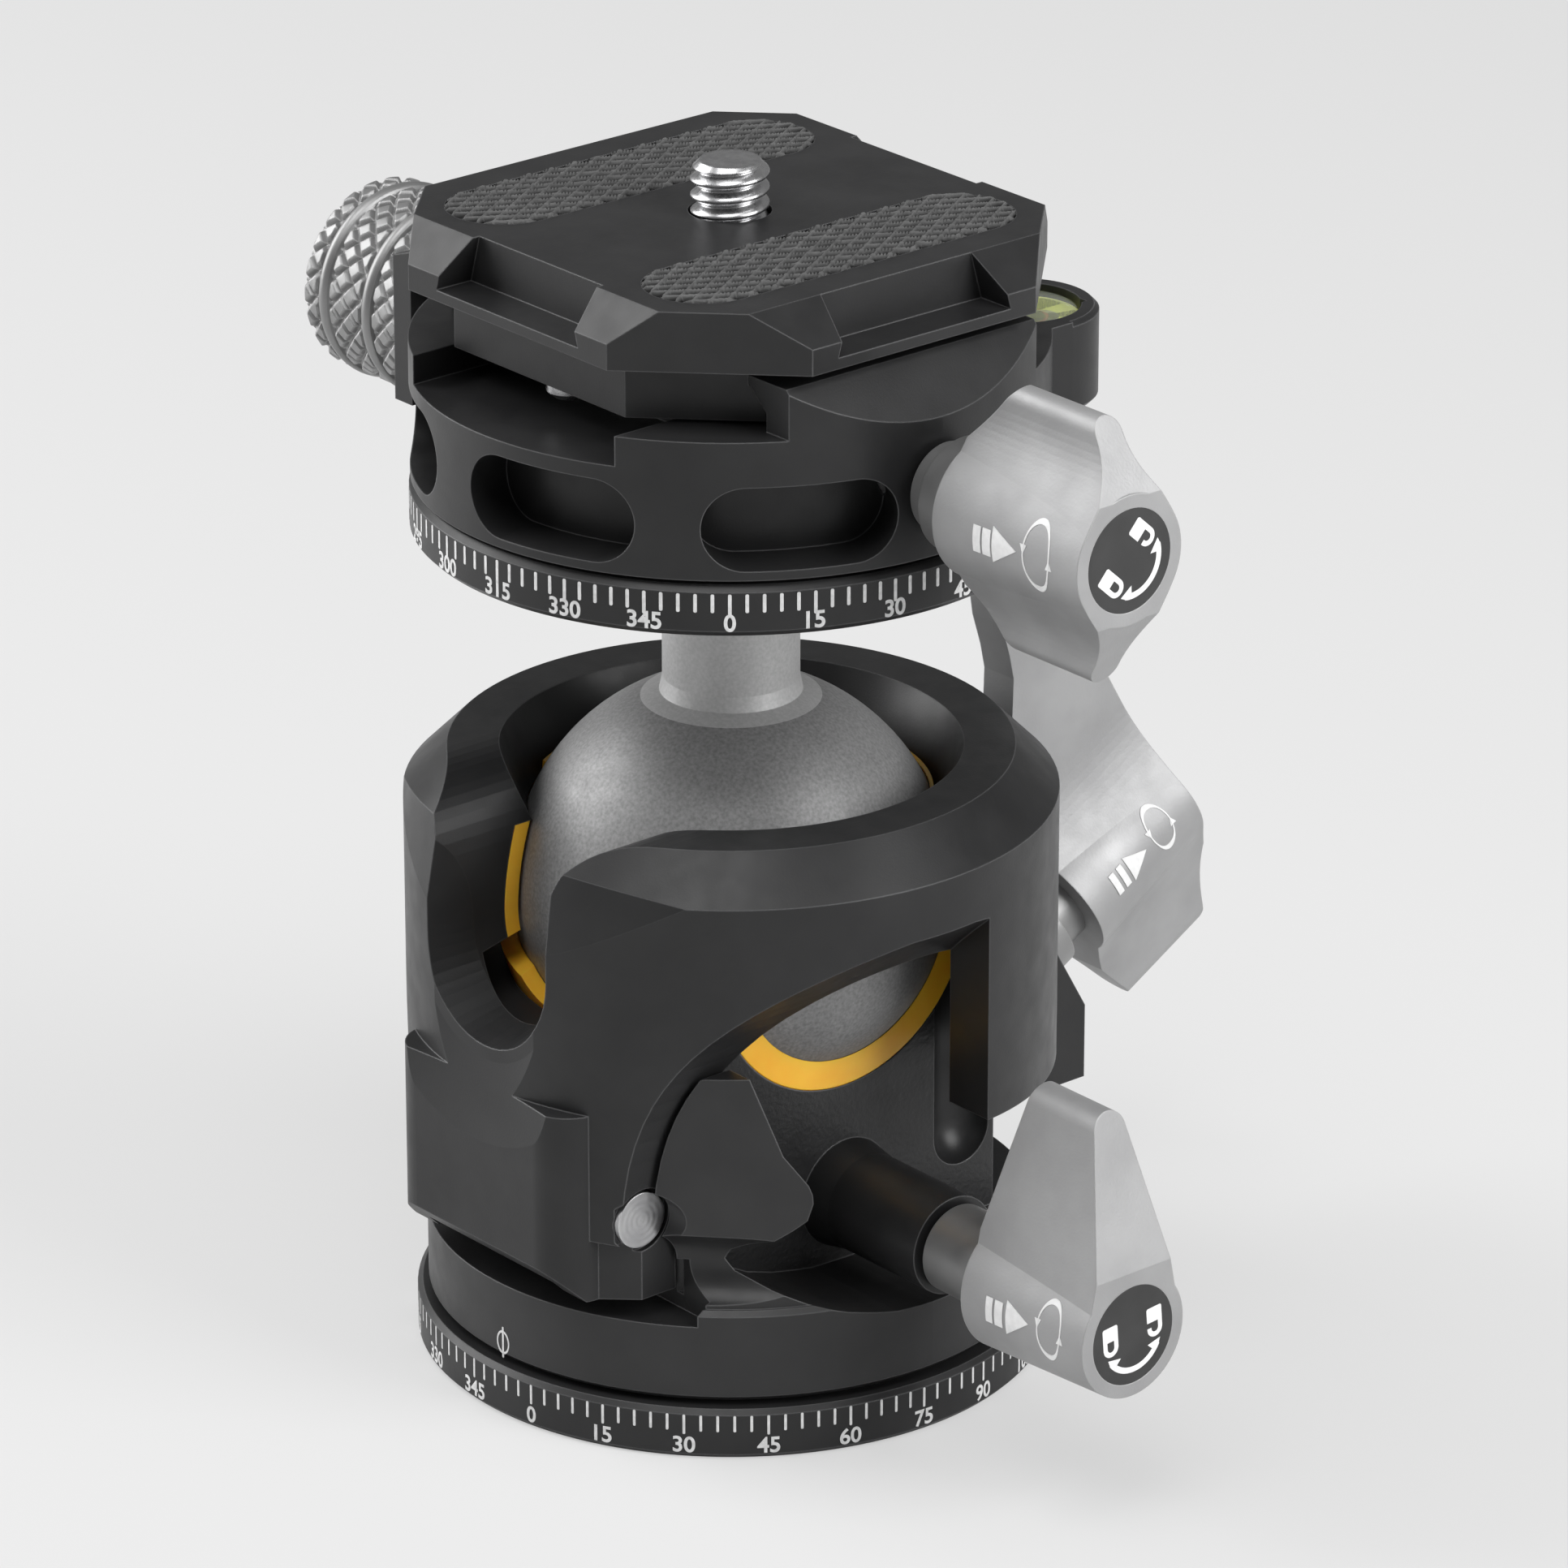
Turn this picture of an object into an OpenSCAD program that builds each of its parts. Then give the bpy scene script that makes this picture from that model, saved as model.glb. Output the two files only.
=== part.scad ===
// Tripod ball head with a panning clamp, a hinged ball clamp and a quick-release plate.
// The origin is the centre of the base's underside and Z is up. The drop notch and the hinge face -Y,
// the pan lock and the clamp's lock face +X, and the ball lock faces +Y.

/* [Base] */
// Radius of the base ring
base_r = 25.5; // [25:0.1:27]
// Height of the base ring
base_h = 4.2; // [3.6:0.1:5]
// Wall radius of the tripod screw's hole
tripod_hole_r = 4; // [3:0.1:4.4]
// Depth of the tripod screw's hole
tripod_hole_depth = 10; // [6:0.5:11]
// Radius of the spigot that the housing turns on
spigot_r = 9; // [8:0.1:9.6]

/* [Ball] */
// Radius of the ball
ball_r = 17.5; // [16.8:0.1:17.8]
// Height of the ball's centre above the housing's underside
ball_rise = 34; // [33.6:0.1:35]
// Radius of the stem
stem_r = 5.45; // [4.5:0.05:5.8]
// Distance from the ball's centre to the scale disc's underside
stem_reach = 30.55; // [29.5:0.05:33]

/* [Housing] */
// Radius of the housing's lower band
band_r = 24.6; // [24:0.1:24.9]
// Radius of the housing's front pillars
pillar_r = 24; // [23:0.1:24.4]
// Half width between the housing's two recessed side faces
side_half = 14; // [13:0.1:15]
// Thickness of a ball liner
liner_t = 1.55; // [1.2:0.05:2]

/* [Cap] */
// Outer radius of the cap
cap_r = 26; // [25.6:0.1:27]
// Inner radius of the cap's apron and leg
apron_r = 21.5; // [21:0.1:22]
// Height of the cap's top face above the ball's centre
cap_rise = 12; // [11:0.1:13]
// Half width of the drop notch
notch_half = 6.4; // [6:0.1:7]
// Half width of the hinge block
hinge_half = 13.3; // [12.5:0.1:14]
// Radius of the hinge pin
pin_r = 2.3; // [1.8:0.1:2.6]

/* [Levers] */
// Height of the wing of the pan lock's lever above its axis
pan_wing = 17.7; // [15:0.1:20]
// Height of each wing of the clamp lock's lever
top_wing = 10.6; // [9:0.1:12]
// Length of the ball lock lever's long wing
long_wing = 29.5; // [26:0.1:31]
// Length of the ball lock lever's short wing
short_wing = 13.3; // [11:0.1:14]
// Radius of a lever's barrel
barrel_r = 5.8; // [5.5:0.05:6.2]

/* [Clamp] */
// How far the scale disc stands out beyond the clamp's body
disc_lip = 0.1; // [-0.5:0.05:1]
// Height of the scale disc
disc_h = 4.15; // [3.6:0.05:5]
// Radius of the clamp's body
clamp_r = 25; // [24.6:0.1:25.6]
// Height of the clamp's body below its channel
clamp_h = 11.1; // [10.8:0.1:12]
// Radius of the clamp's knob
knob_r = 8.2; // [7:0.1:9]
// Length of the clamp's knob
knob_len = 14.3; // [11:0.1:16]

/* [Plate] */
// Length of the plate along its dovetail
plate_len = 44.2; // [43:0.1:46]
// Width of the plate across its dovetail
plate_w = 46; // [44:0.1:47]
// Height of the plate
plate_h = 9.7; // [9.4:0.1:11]
// Width of the dovetail's foot
dovetail_w = 38; // [37:0.1:38.2]
// Radius of the camera screw's thread
screw_r = 3.1; // [2.5:0.05:3.3]
// Height of the camera screw above the plate
screw_rise = 4.1; // [3:0.1:6]

/* [Hidden] */
$fn = 96;
// overrun of a cut past the face that it opens
over = 1;
// radial clearance of a piece that turns or slides in another
run_fit = 0.05;
// clearance between pieces that pass each other
gap = 0.5;
// small edge chamfer
edge = 0.4;

black = [0.14, 0.14, 0.15];
deep_black = [0.07, 0.07, 0.08];
silver = [0.74, 0.74, 0.75];
steel = [0.62, 0.62, 0.64];
ball_grey = [0.36, 0.36, 0.37];
orange = [0.93, 0.58, 0.12];
shoe_white = [0.86, 0.84, 0.78];
rubber_black = [0.1, 0.1, 0.1];
white = [0.9, 0.9, 0.88];
liquid = [0.78, 0.85, 0.2];
clear = [0.9, 0.93, 0.9, 0.4];

// heights of the stack
washer_t = 0.4;
deck_z = base_h + washer_t;
ball_z = deck_z + ball_rise;
cap_z = ball_z + cap_rise;
disc_z = ball_z + stem_reach;
clamp_z = disc_z + disc_h + washer_t;
channel_z = clamp_z + clamp_h;
seat_share = 0.6;
plate_z = channel_z + gap * seat_share;

// base
spigot_rise = 13;
spigot_z = deck_z + spigot_rise;
clip_t = 1.2;
clip_rise = 3.3;
clip_z = deck_z + clip_rise;
clip_bite = 1;
clip_in = spigot_r - clip_bite;
clip_proud = 2;
clip_out = spigot_r + clip_proud;
clip_open = 7;
bearing_h = 2.9;
cavity_r = clip_out + gap;
cavity_z = spigot_z + edge;
washer_in = spigot_r + edge;
washer_inset = 1.1;
washer_out = band_r - washer_inset;

// housing
band_h = 7.7;
ledge_rise = 5.9;
ledge_z = deck_z + ledge_rise;
core_r = apron_r - gap;
seat_r = ball_r + liner_t + run_fit;
seat_drop = 1.5;
seat_floor = ball_z - ball_r - seat_drop;
cup_lean_share = 0.227;
cup_front_drop = 5.1;
cup_front_z = ball_z - cup_front_drop;
cup_drop = 2;
pillar_drop = 6.6;
pillar_z = ball_z - pillar_drop;
// edge of the side recess: each row is along Y over the pillar's radius and up over the ball's height
recess_shares = [
    [-0.596, 0.809], [-0.571, 0.753], [-0.504, 0.609], [-0.429, 0.529], [-0.417, 0.505], [-0.415, 0.482],
    [-0.433, 0.441], [-0.475, 0.42], [-0.521, 0.4], [-0.568, 0.38], [-0.6, 0.358], [-0.608, 0.332],
    [-0.588, 0.303], [-0.521, 0.265], [-0.429, 0.229], [-0.317, 0.203], [-0.22, 0.188], [-0.142, 0.178]
];
saddle_r = 3.2;
saddle_out = 1.2;
saddle_rise = 11;
saddle_z = deck_z + saddle_rise;
saddle_turn = 47;
groove_r = 3;
groove_shift = 0.8;
groove_x = side_half + groove_shift;
groove_y = 12.2;
groove_rise = 13.4;
groove_z = deck_z + groove_rise;
hinge_out = 20.3;
hinge_y = -hinge_out;
hinge_rise = 15.1;
hinge_z = deck_z + hinge_rise;
knuckle_half = 7.5;
knuckle_r = 4.2;
pocket_half = 17;
pocket_in = 16.5;
pocket_rise = 6.4;
pocket_z = deck_z + pocket_rise;
boss_r = 4.08;
boss_foot_r = 4.6;
boss_foot_h = 3;
boss_x = 27;

// locks
lock_bore_r = 2.5;
pan_axis_rise = 11.7;
pan_axis_z = deck_z + pan_axis_rise;
shoe_r = 2.6;
shoe_len = 3.6;
shoe_gap = 0.55;
shoe_x = spigot_r + shoe_gap;
lock_reach = 11.6;
neck_r = 3.6;
spline_r = 3.2;
lever_len = 13.4;
lever_grip = 4.2;
chamber_r = 3.9;
lever_front_r = 5.2;
pull = 2.5;
spring_room = 5;
screw_head_r = 3.4;
screw_head_h = 1.6;
screw_shank_r = 1.5;
screw_shank_h = 6;
end_disc_r = 4.1;
end_disc_t = 1;
spring_r = 3.3;
spring_wire = 0.3;
spring_turns = 4;
top_axis_rise = 5.6;
top_axis_z = clamp_z + top_axis_rise;
top_lever_len = 15.6;
ball_lock_tilt = 30;
ball_lock_rise = 3.2;
ball_lock_z = hinge_z + ball_lock_rise;
collar_start = 5.2;
collar_h = 1.8;
collar_r = 4.7;
ball_neck_r = 3.8;
ball_neck_end = 9.4;
spindle_room = 3.4;
pan_neck_h = 7;
top_neck_h = 5;
top_collar_r = 4.6;
top_collar_start = 2;
wing_tip_r = 1.6;
top_tip_r = 1.3;
long_wing_half = 1.8;
// where a wing's side leaves the barrel, in degrees from straight sideways
root_turn = 28;
root_share = 0.42;
tip_share = 0.36;
// outlines of the wings: each row is out from the axis over the wing's length, then along the lever
pan_wing_shares = [[-0.34, 0], [0.3, 0], [1, 0.23], [1, 0.75], [0.3, 1], [-0.34, 1]];
top_wing_shares = [[0, 0], [0.56, 0], [1, 0.26], [1, 0.8], [0.46, 1], [0, 1]];
short_wing_shares = [[0, 0], [0.6, 0], [1, 0.14], [1, 0.78], [0.92, 0.84], [0.4, 1], [0, 1]];
long_wing_shares = [
    [0, 0], [0.18, 0], [0.36, 0.07], [0.53, 0.16], [0.62, 0.27], [0.73, 0.42], [0.8, 0.47], [0.9, 0.52],
    [0.97, 0.58], [1, 0.68], [0.99, 0.86], [0.95, 0.96], [0.88, 1], [0, 1]
];

// cap
cap_flat_out = 22.5;
cap_flat_in = 18.4;
mouth_r = 16.2;
mouth_drop = 5.1;
bevel_h = cap_r - cap_flat_out;
lean_turn = 26.3;
lean_slope = 1.45;
lean_reach = 42.6;
arch_top_rise = 4;
arch_top = ball_z + arch_top_rise;
arch_foot_drop = 20.6;
arch_foot = ball_z - arch_foot_drop;
arch_out = 25.8;
arch_run = arch_out - hinge_half;
arch_rise = arch_top - arch_foot;
// middle points of the window's arch, in shares of its width past the hinge block and of its height
arch_one_share = 0.557;
arch_two_share = [0.454, 0.762];
ring_front_drop = 2.1;
ring_front_z = ball_z - ring_front_drop;
ring_lean_share = 0.176;
block_out = 26.4;
block_y = -block_out;
block_half = 7.4;
block_top_drop = 9.9;
block_top = ball_z - block_top_drop;
block_foot_rise = 8.2;
block_foot = deck_z + block_foot_rise;
block_bevel = 2.5;
block_corner = 3.6;
scoop_out = 14.7;
scoop_flare_share = 5.65;
scoop_depth = 1.15;
notch_rise = 0.4;
notch_flare = 1.4;
notch_top_half = 13.4;
notch_bend_drop = 2.6;
notch_sweep = 5;
notch_neck_drop = 3.6;
leg_y = 4.8;
leg_foot_drop = 13.4;
leg_foot = ball_z - leg_foot_drop;
leg_fall = 1.7;
boss_half = 6;
boss_face = 4.6;
boss_face_half = 5.5;
boss_lift = 2.4;
boss_foot_rise = 9.4;
boss_foot = deck_z + boss_foot_rise;
boss_in = 24;
sink_r = 2.7;
sink_h = 0.5;

// ball and disc
flare_r = 5.75;
flare_h = 1.6;
flare_rise = 16.2;
flare_z = ball_z + flare_rise;
disc_edge = 0.5;
top_spigot_r = 8;
top_spigot_drop = 3.4;
top_spigot_z = channel_z - top_spigot_drop;
top_clip_rise = 1.4;
top_clip_z = clamp_z + top_clip_rise;
top_clip_out = top_spigot_r + clip_proud;
top_clip_in = top_spigot_r - clip_bite;
top_bearing_h = 1.1;
top_cavity_r = top_clip_out + gap;
top_cavity_z = top_spigot_z + edge;
top_shoe_x = top_spigot_r + shoe_gap;
bolt_r = 2.5;
bolt_head_r = 4.6;
bolt_head_h = 3.6;
bolt_head_rise = 3.6;
bolt_head_z = clamp_z + bolt_head_rise;
bolt_len = 19;
bolt_key_r = 2.3;
bolt_key_h = 2;

// clamp
disc_r = clamp_r + disc_lip;
slot_h = 6.7;
slot_rise = 4.1;
slot_z = clamp_z + slot_rise;
slot_span = 35.6;
slot_depth = 4.4;
slot_turns = [-27.2, -74.5, -121.8, 27.2, 121.8];
jaw_h = 4;
jaw_top = channel_z + jaw_h;
jaw_half = 12.4;
jaw_crest_in = 3.6;
jaw_crest = clamp_r - jaw_crest_in;
foot_h = 1.1;
jaw_fit = 0.1;
stop_floor_drop = 2.4;
stop_floor = channel_z - stop_floor_drop;
stop_half = 11.6;
stop_wall = 12.4;
stop_in = 12.6;
jaw_lift = 0.25;
jaw_z = channel_z + jaw_lift;
jaw_clear = 0.6;
jaw_in = -clamp_r - jaw_clear;
jaw_plate_t = 2.2;
jaw_out = jaw_in - jaw_plate_t;
jaw_bevel = 2.4;
jaw_plate_top = jaw_top - jaw_bevel;
jaw_plate_half = 11.5;
jaw_plate_rise = 0.6;
jaw_plate_z = clamp_z + jaw_plate_rise;
knob_axis_rise = 4.3;
knob_axis_z = clamp_z + knob_axis_rise;
knob_collar_r = 5.4;
knob_collar_h = 2.3;
knob_clear = 0.4;
knob_x = jaw_out - knob_collar_h - knob_clear;
knob_hold = 8;
knob_groove_r = 7.7;
ring_h = 1.1;
ring_one = 3;
ring_two = 8.6;
knob_screw_r = 2.5;
knob_screw_in = 13.5;
knob_screw_end = -knob_screw_in;
guide_r = 1.25;
guide_y = 8.4;
guide_in = 14.5;
guide_end = -guide_in;
spring_hole_r = 2.1;
jaw_spring_r = 1.7;
jaw_spring_room = 5;
guide_drop = 3;
guide_z = channel_z - guide_drop;
lug_x = 9.3;
lug_y = 21.8;
lug_r = 6.2;
lug_h = 7.6;
vial_r = 4.8;
vial_h = 5.2;
lens_h = 1.1;
bubble_r = 1.5;
bubble_h = 0.7;
bubble_x = 1.1;

// plate
plate_top = plate_z + plate_h;
flange_half_y = 19;
strap_draft = 1.4;
hole_fit = 0.15;
screw_end_z = plate_top + screw_rise;
stop_dome_r = 2.2;
rim_rise = 4.9;
rim_z = plate_z + rim_rise;
rim_h = 2.1;
top_half_x = 19.6;
top_half_y = 19.3;
corner_flat = 24.15;
flange_h = 2.9;
flange_corner = 29.4;
neck_inset = 2;
neck_x = dovetail_w / 2 - neck_inset;
strap_half = 8.6;
strap_depth = 3.4;
strap_floor = 0.9;
pad_x = 12;
pad_half = 4.6;
pad_end = 17.3;
pad_sink = 0.6;
pad_proud = 0.25;
stop_y = 17.1;
stop_x = 1.2;
stop_r = 1.7;
stop_h = 1.5;
stop_shank_r = 1;
stop_shank_h = 3;
head_r = 6.6;
head_h = 2.4;
head_rise = 1.3;
head_z = plate_z + head_rise;
screw_neck_cut = 0.4;
screw_neck_r = screw_r - screw_neck_cut;
thread_rise = 0.2;
thread_z = plate_top + thread_rise;
ring_drop = 0.85;
ring_z = head_z - ring_drop;
ring_r_in = 5.4;
ring_groove = 0.5;
ring_t = 0.7;
key_slot = 1.2;
key_depth = 1.1;

// Shapes that repeat

// a disc whose two outer edges are chamfered
module disc(r, h, c) {
    rotate_extrude()
        polygon([[0, 0], [r - c, 0], [r, c], [r, h - c], [r - c, h], [0, h]]);
}

module ring(r_out, r_in, h) {
    difference() {
        cylinder(r = r_out, h = h);
        translate([0, 0, -over]) cylinder(r = r_in, h = h + 2 * over);
    }
}

// a bar along X from one place to another
module bar(r, from, to) {
    translate([from, 0, 0]) rotate([0, 90, 0]) cylinder(r = r, h = to - from);
}

// an outline given in Y and Z, thick along X
module slab_x(from, to) {
    translate([from, 0, 0]) rotate([90, 0, 90]) linear_extrude(to - from) children();
}

// an outline given in X and Z, thick along Y
module slab_y(from, to) {
    translate([0, to, 0]) rotate([90, 0, 0]) linear_extrude(to - from) children();
}

module both_sides() {
    children();
    mirror([1, 0, 0]) children();
}

module both_ends() {
    children();
    mirror([0, 1, 0]) children();
}

// everything above a plane that leans up toward +Y from a height at the seat's front
module above_lean(z, lean) {
    translate([0, -seat_r, z]) rotate([atan(lean), 0, 0])
        translate([-2 * cap_r, -2 * cap_r, 0]) cube([4 * cap_r, 6 * cap_r, 2 * cap_r]);
}

// two circles joined by their outer tangents
module teardrop(r_low, r_high, d) {
    lean = asin((r_low - r_high) / d);
    circle(r_low);
    translate([0, d]) circle(r_high);
    polygon([
        for (s = [-1, 1]) [s * r_low * cos(lean), r_low * sin(lean)],
        for (s = [1, -1]) [s * r_high * cos(lean), d + r_high * sin(lean)]
    ]);
}

// a coil spring along Z, one unbroken wire
module coil(r, wire, h, turns) {
    steps = 14;
    sides = 6;
    count = steps * turns;
    points = [
        for (i = [0:count], j = [0:sides - 1])
            let (turn = 360 * i / steps, lean = 360 * j / sides, out = r + wire * cos(lean))
            [out * cos(turn), out * sin(turn), wire + (h - 2 * wire) * i / count + wire * sin(lean)]
    ];
    faces = [
        [for (j = [0:sides - 1]) j],
        [for (j = [sides - 1:-1:0]) count * sides + j],
        for (i = [0:count - 1], j = [0:sides - 1])
            [i * sides + (j + 1) % sides, i * sides + j, (i + 1) * sides + j],
        for (i = [0:count - 1], j = [0:sides - 1])
            [i * sides + (j + 1) % sides, (i + 1) * sides + j, (i + 1) * sides + (j + 1) % sides]
    ];
    polyhedron(points, faces);
}

function curve(a, b, c, d, n) = [
    for (i = [0:n]) let (t = i / n, u = 1 - t)
        u * u * u * a + 3 * t * u * u * b + 3 * t * t * u * c + t * t * t * d
];

// The base

module pan_base() {
    color(black) difference() {
        union() {
            disc(base_r, base_h, edge);
            translate([0, 0, edge]) cylinder(r = spigot_r, h = spigot_z - edge);
        }
        translate([0, 0, -over]) cylinder(r = tripod_hole_r, h = tripod_hole_depth + over);
        translate([0, 0, clip_z]) ring(spigot_r + over, clip_in, clip_t);
    }
}

module snap_ring(r_out, r_in, h) {
    difference() {
        ring(r_out, r_in, h);
        translate([0, -clip_open / 2, -over]) cube([r_out + over, clip_open, h + 2 * over]);
    }
}

module pan_clip() {
    color(steel) translate([0, 0, clip_z]) snap_ring(clip_out, clip_in, clip_t);
}

module pan_washer() {
    color(white) translate([0, 0, base_h]) ring(washer_out, washer_in, washer_t);
}

// The housing

// the window's arch in X and Z, widened by a clearance
function arch_points(wide) = [
    for (p = curve([0, 0], [0, arch_one_share], arch_two_share, [1, 1], 16))
        [hinge_half + wide + arch_run * p[0], arch_foot + arch_rise * p[1]]
];

module arch_side(wide, foot) {
    polygon(concat(
        [[hinge_half + wide, foot]], arch_points(wide),
        [[2 * cap_r, arch_top], [2 * cap_r, foot]]
    ));
}

module recess_outline() {
    polygon(concat(
        [[recess_shares[0][0] * pillar_r, cap_z]],
        [for (p = recess_shares) [p[0] * pillar_r, deck_z + p[1] * ball_rise]],
        [[0, ledge_z], [2 * cap_r, ledge_z], [2 * cap_r, cap_z]]
    ));
}

// places the ball lock: local Z runs outward along its axis and local Y points up
module at_ball_lock() {
    translate([0, cap_r, ball_lock_z]) rotate([ball_lock_tilt, 0, 0]) rotate([90, 0, 180]) children();
}

// places a lock that points toward +X
module at_side_lock(x, z) {
    translate([x, 0, z]) rotate([90, 0, 90]) children();
}

// the outside of the housing, before its bores
module housing_shape() {
    difference() {
        union() {
            translate([0, 0, deck_z]) disc(band_r, band_h, edge);
            translate([0, 0, deck_z + edge]) cylinder(r = core_r, h = cap_rise + ball_rise);
            both_sides() intersection() {
                translate([0, 0, deck_z + edge]) cylinder(r = pillar_r, h = pillar_z - deck_z - edge);
                slab_y(-cap_r, 0) arch_side(gap, deck_z);
            }
            slab_x(-knuckle_half, knuckle_half) {
                translate([hinge_y, hinge_z]) circle(knuckle_r);
                translate([hinge_y, hinge_z - knuckle_r]) square([-hinge_y - cavity_r, 2 * knuckle_r]);
            }
        }
        above_lean(cup_front_z - cup_drop, cup_lean_share);
        // the side recesses
        both_sides() slab_x(side_half, 2 * cap_r) recess_outline();
        // the ledge behind
        translate([0, 0, ledge_z]) intersection() {
            ring(2 * cap_r, core_r, cap_z);
            translate([-cap_r, 0, 0]) cube([2 * cap_r, 2 * cap_r, cap_z]);
        }
        both_sides() {
            rotate([0, 0, -saddle_turn]) translate([pillar_r + saddle_out, 0, saddle_z])
                rotate([90, 0, 0]) cylinder(r = saddle_r, h = cap_r, center = true);
            translate([groove_x, groove_y, groove_z]) {
                cylinder(r = groove_r, h = cap_z);
                sphere(groove_r);
            }
        }
        // the pockets beside the hinge block
        slab_x(-pocket_half, pocket_half) polygon([
            [-cap_r, pocket_z], [-pocket_in, pocket_z],
            [-pocket_in, saddle_z], [-cap_r, saddle_z]
        ]);
    }
}

module lower_housing() {
    color(black) difference() {
        union() {
            housing_shape();
            translate([0, 0, pan_axis_z]) {
                bar(boss_r, side_half - edge, boss_x);
                translate([side_half - edge, 0, 0]) rotate([0, 90, 0])
                    cylinder(r1 = boss_foot_r, r2 = boss_r, h = boss_foot_h);
            }
        }
        translate([0, 0, ball_z]) intersection() {
            sphere(seat_r);
            translate([-seat_r, -seat_r, seat_floor - ball_z])
                cube([2 * seat_r, 2 * seat_r, 2 * seat_r]);
        }
        translate([0, 0, deck_z - over]) cylinder(r = spigot_r + run_fit, h = over + spigot_z - deck_z);
        translate([0, 0, deck_z + bearing_h]) cylinder(r = cavity_r, h = cavity_z - deck_z - bearing_h);
        translate([0, hinge_y, hinge_z]) bar(pin_r + run_fit, -cap_r, cap_r);
        translate([0, 0, pan_axis_z]) {
            bar(lock_bore_r + run_fit, 0, boss_x + over);
            bar(shoe_r + run_fit, 0, shoe_x + shoe_len + gap);
        }
        at_ball_lock() translate([0, 0, -lock_reach]) cylinder(r = lock_bore_r + run_fit, h = cap_r);
    }
}

module lower_liner() {
    color(orange) intersection() {
        difference() {
            translate([0, 0, ball_z]) difference() {
                sphere(seat_r - run_fit);
                sphere(ball_r + run_fit);
            }
            above_lean(cup_front_z, cup_lean_share);
            slab_y(-2 * cap_r, 0) notch_shape(notch_half + gap);
        }
        translate([-side_half, -cap_r, seat_floor]) cube([2 * side_half, 2 * cap_r, 2 * cap_r]);
    }
}

module hinge_pin() {
    color(steel) translate([0, hinge_y, hinge_z]) bar(pin_r, -hinge_half, hinge_half);
}

// The cap

module cap_outline() {
    rotate_extrude() polygon([
        [mouth_r, cap_z - mouth_drop], [cap_flat_in, cap_z], [cap_flat_out, cap_z],
        [cap_r, cap_z - bevel_h], [cap_r, arch_foot], [apron_r, arch_foot], [apron_r, cap_z - mouth_drop]
    ]);
}

// the flat-faced block that carries the hinge
module hinge_block() {
    intersection() {
        translate([0, 0, block_foot]) linear_extrude(block_top - block_foot) difference() {
            union() {
                translate([-block_half, block_y]) square([2 * block_half, block_corner * 2]);
                both_sides() translate([block_half, block_y + block_corner]) circle(block_corner);
                polygon([
                    [-block_half - block_corner, block_y + block_corner],
                    [block_half + block_corner, block_y + block_corner],
                    [hinge_half, hinge_y], [hinge_half, -side_half], [-hinge_half, -side_half],
                    [-hinge_half, hinge_y]
                ]);
            }
            circle(apron_r);
        }
        // the bevel under the front face
        slab_x(-cap_r, cap_r) polygon([
            [block_y - over, block_top + over], [0, block_top + over], [0, block_foot - over],
            [block_y + block_bevel, block_foot - over], [block_y + block_bevel, block_foot],
            [block_y, block_foot + block_bevel], [block_y - over, block_foot + block_bevel]
        ]);
    }
}

// the notch in X and Z, for a half width at its foot: its sides sweep outward to the top face
module notch_shape(half) {
    side = curve([half, ball_z + notch_rise], [half, cap_z - notch_bend_drop],
        [notch_top_half - notch_sweep, cap_z], [notch_top_half, cap_z], 16);
    translate([0, ball_z + notch_rise]) circle(half);
    polygon(concat(
        side, [[notch_top_half, cap_z + over], [-notch_top_half, cap_z + over]],
        [for (i = [len(side) - 1:-1:0]) [-side[i][0], side[i][1]]]
    ));
}

// a place in Y and Z, given along the ball lock's axis and up from it
function on_lock(out, up) = [
    cap_r + out * cos(ball_lock_tilt) - up * sin(ball_lock_tilt),
    ball_lock_z + out * sin(ball_lock_tilt) + up * cos(ball_lock_tilt)
];

module rear_boss() {
    low = on_lock(boss_face, -boss_face_half);
    high = on_lock(boss_face, boss_face_half);
    slab_x(-boss_half, boss_half) polygon([
        [apron_r, boss_foot + boss_lift], [boss_in, boss_foot], [low[0], boss_foot], low, high,
        [cap_r - edge, high[1] + boss_lift], [apron_r, high[1] + boss_lift]
    ]);
}

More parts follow.
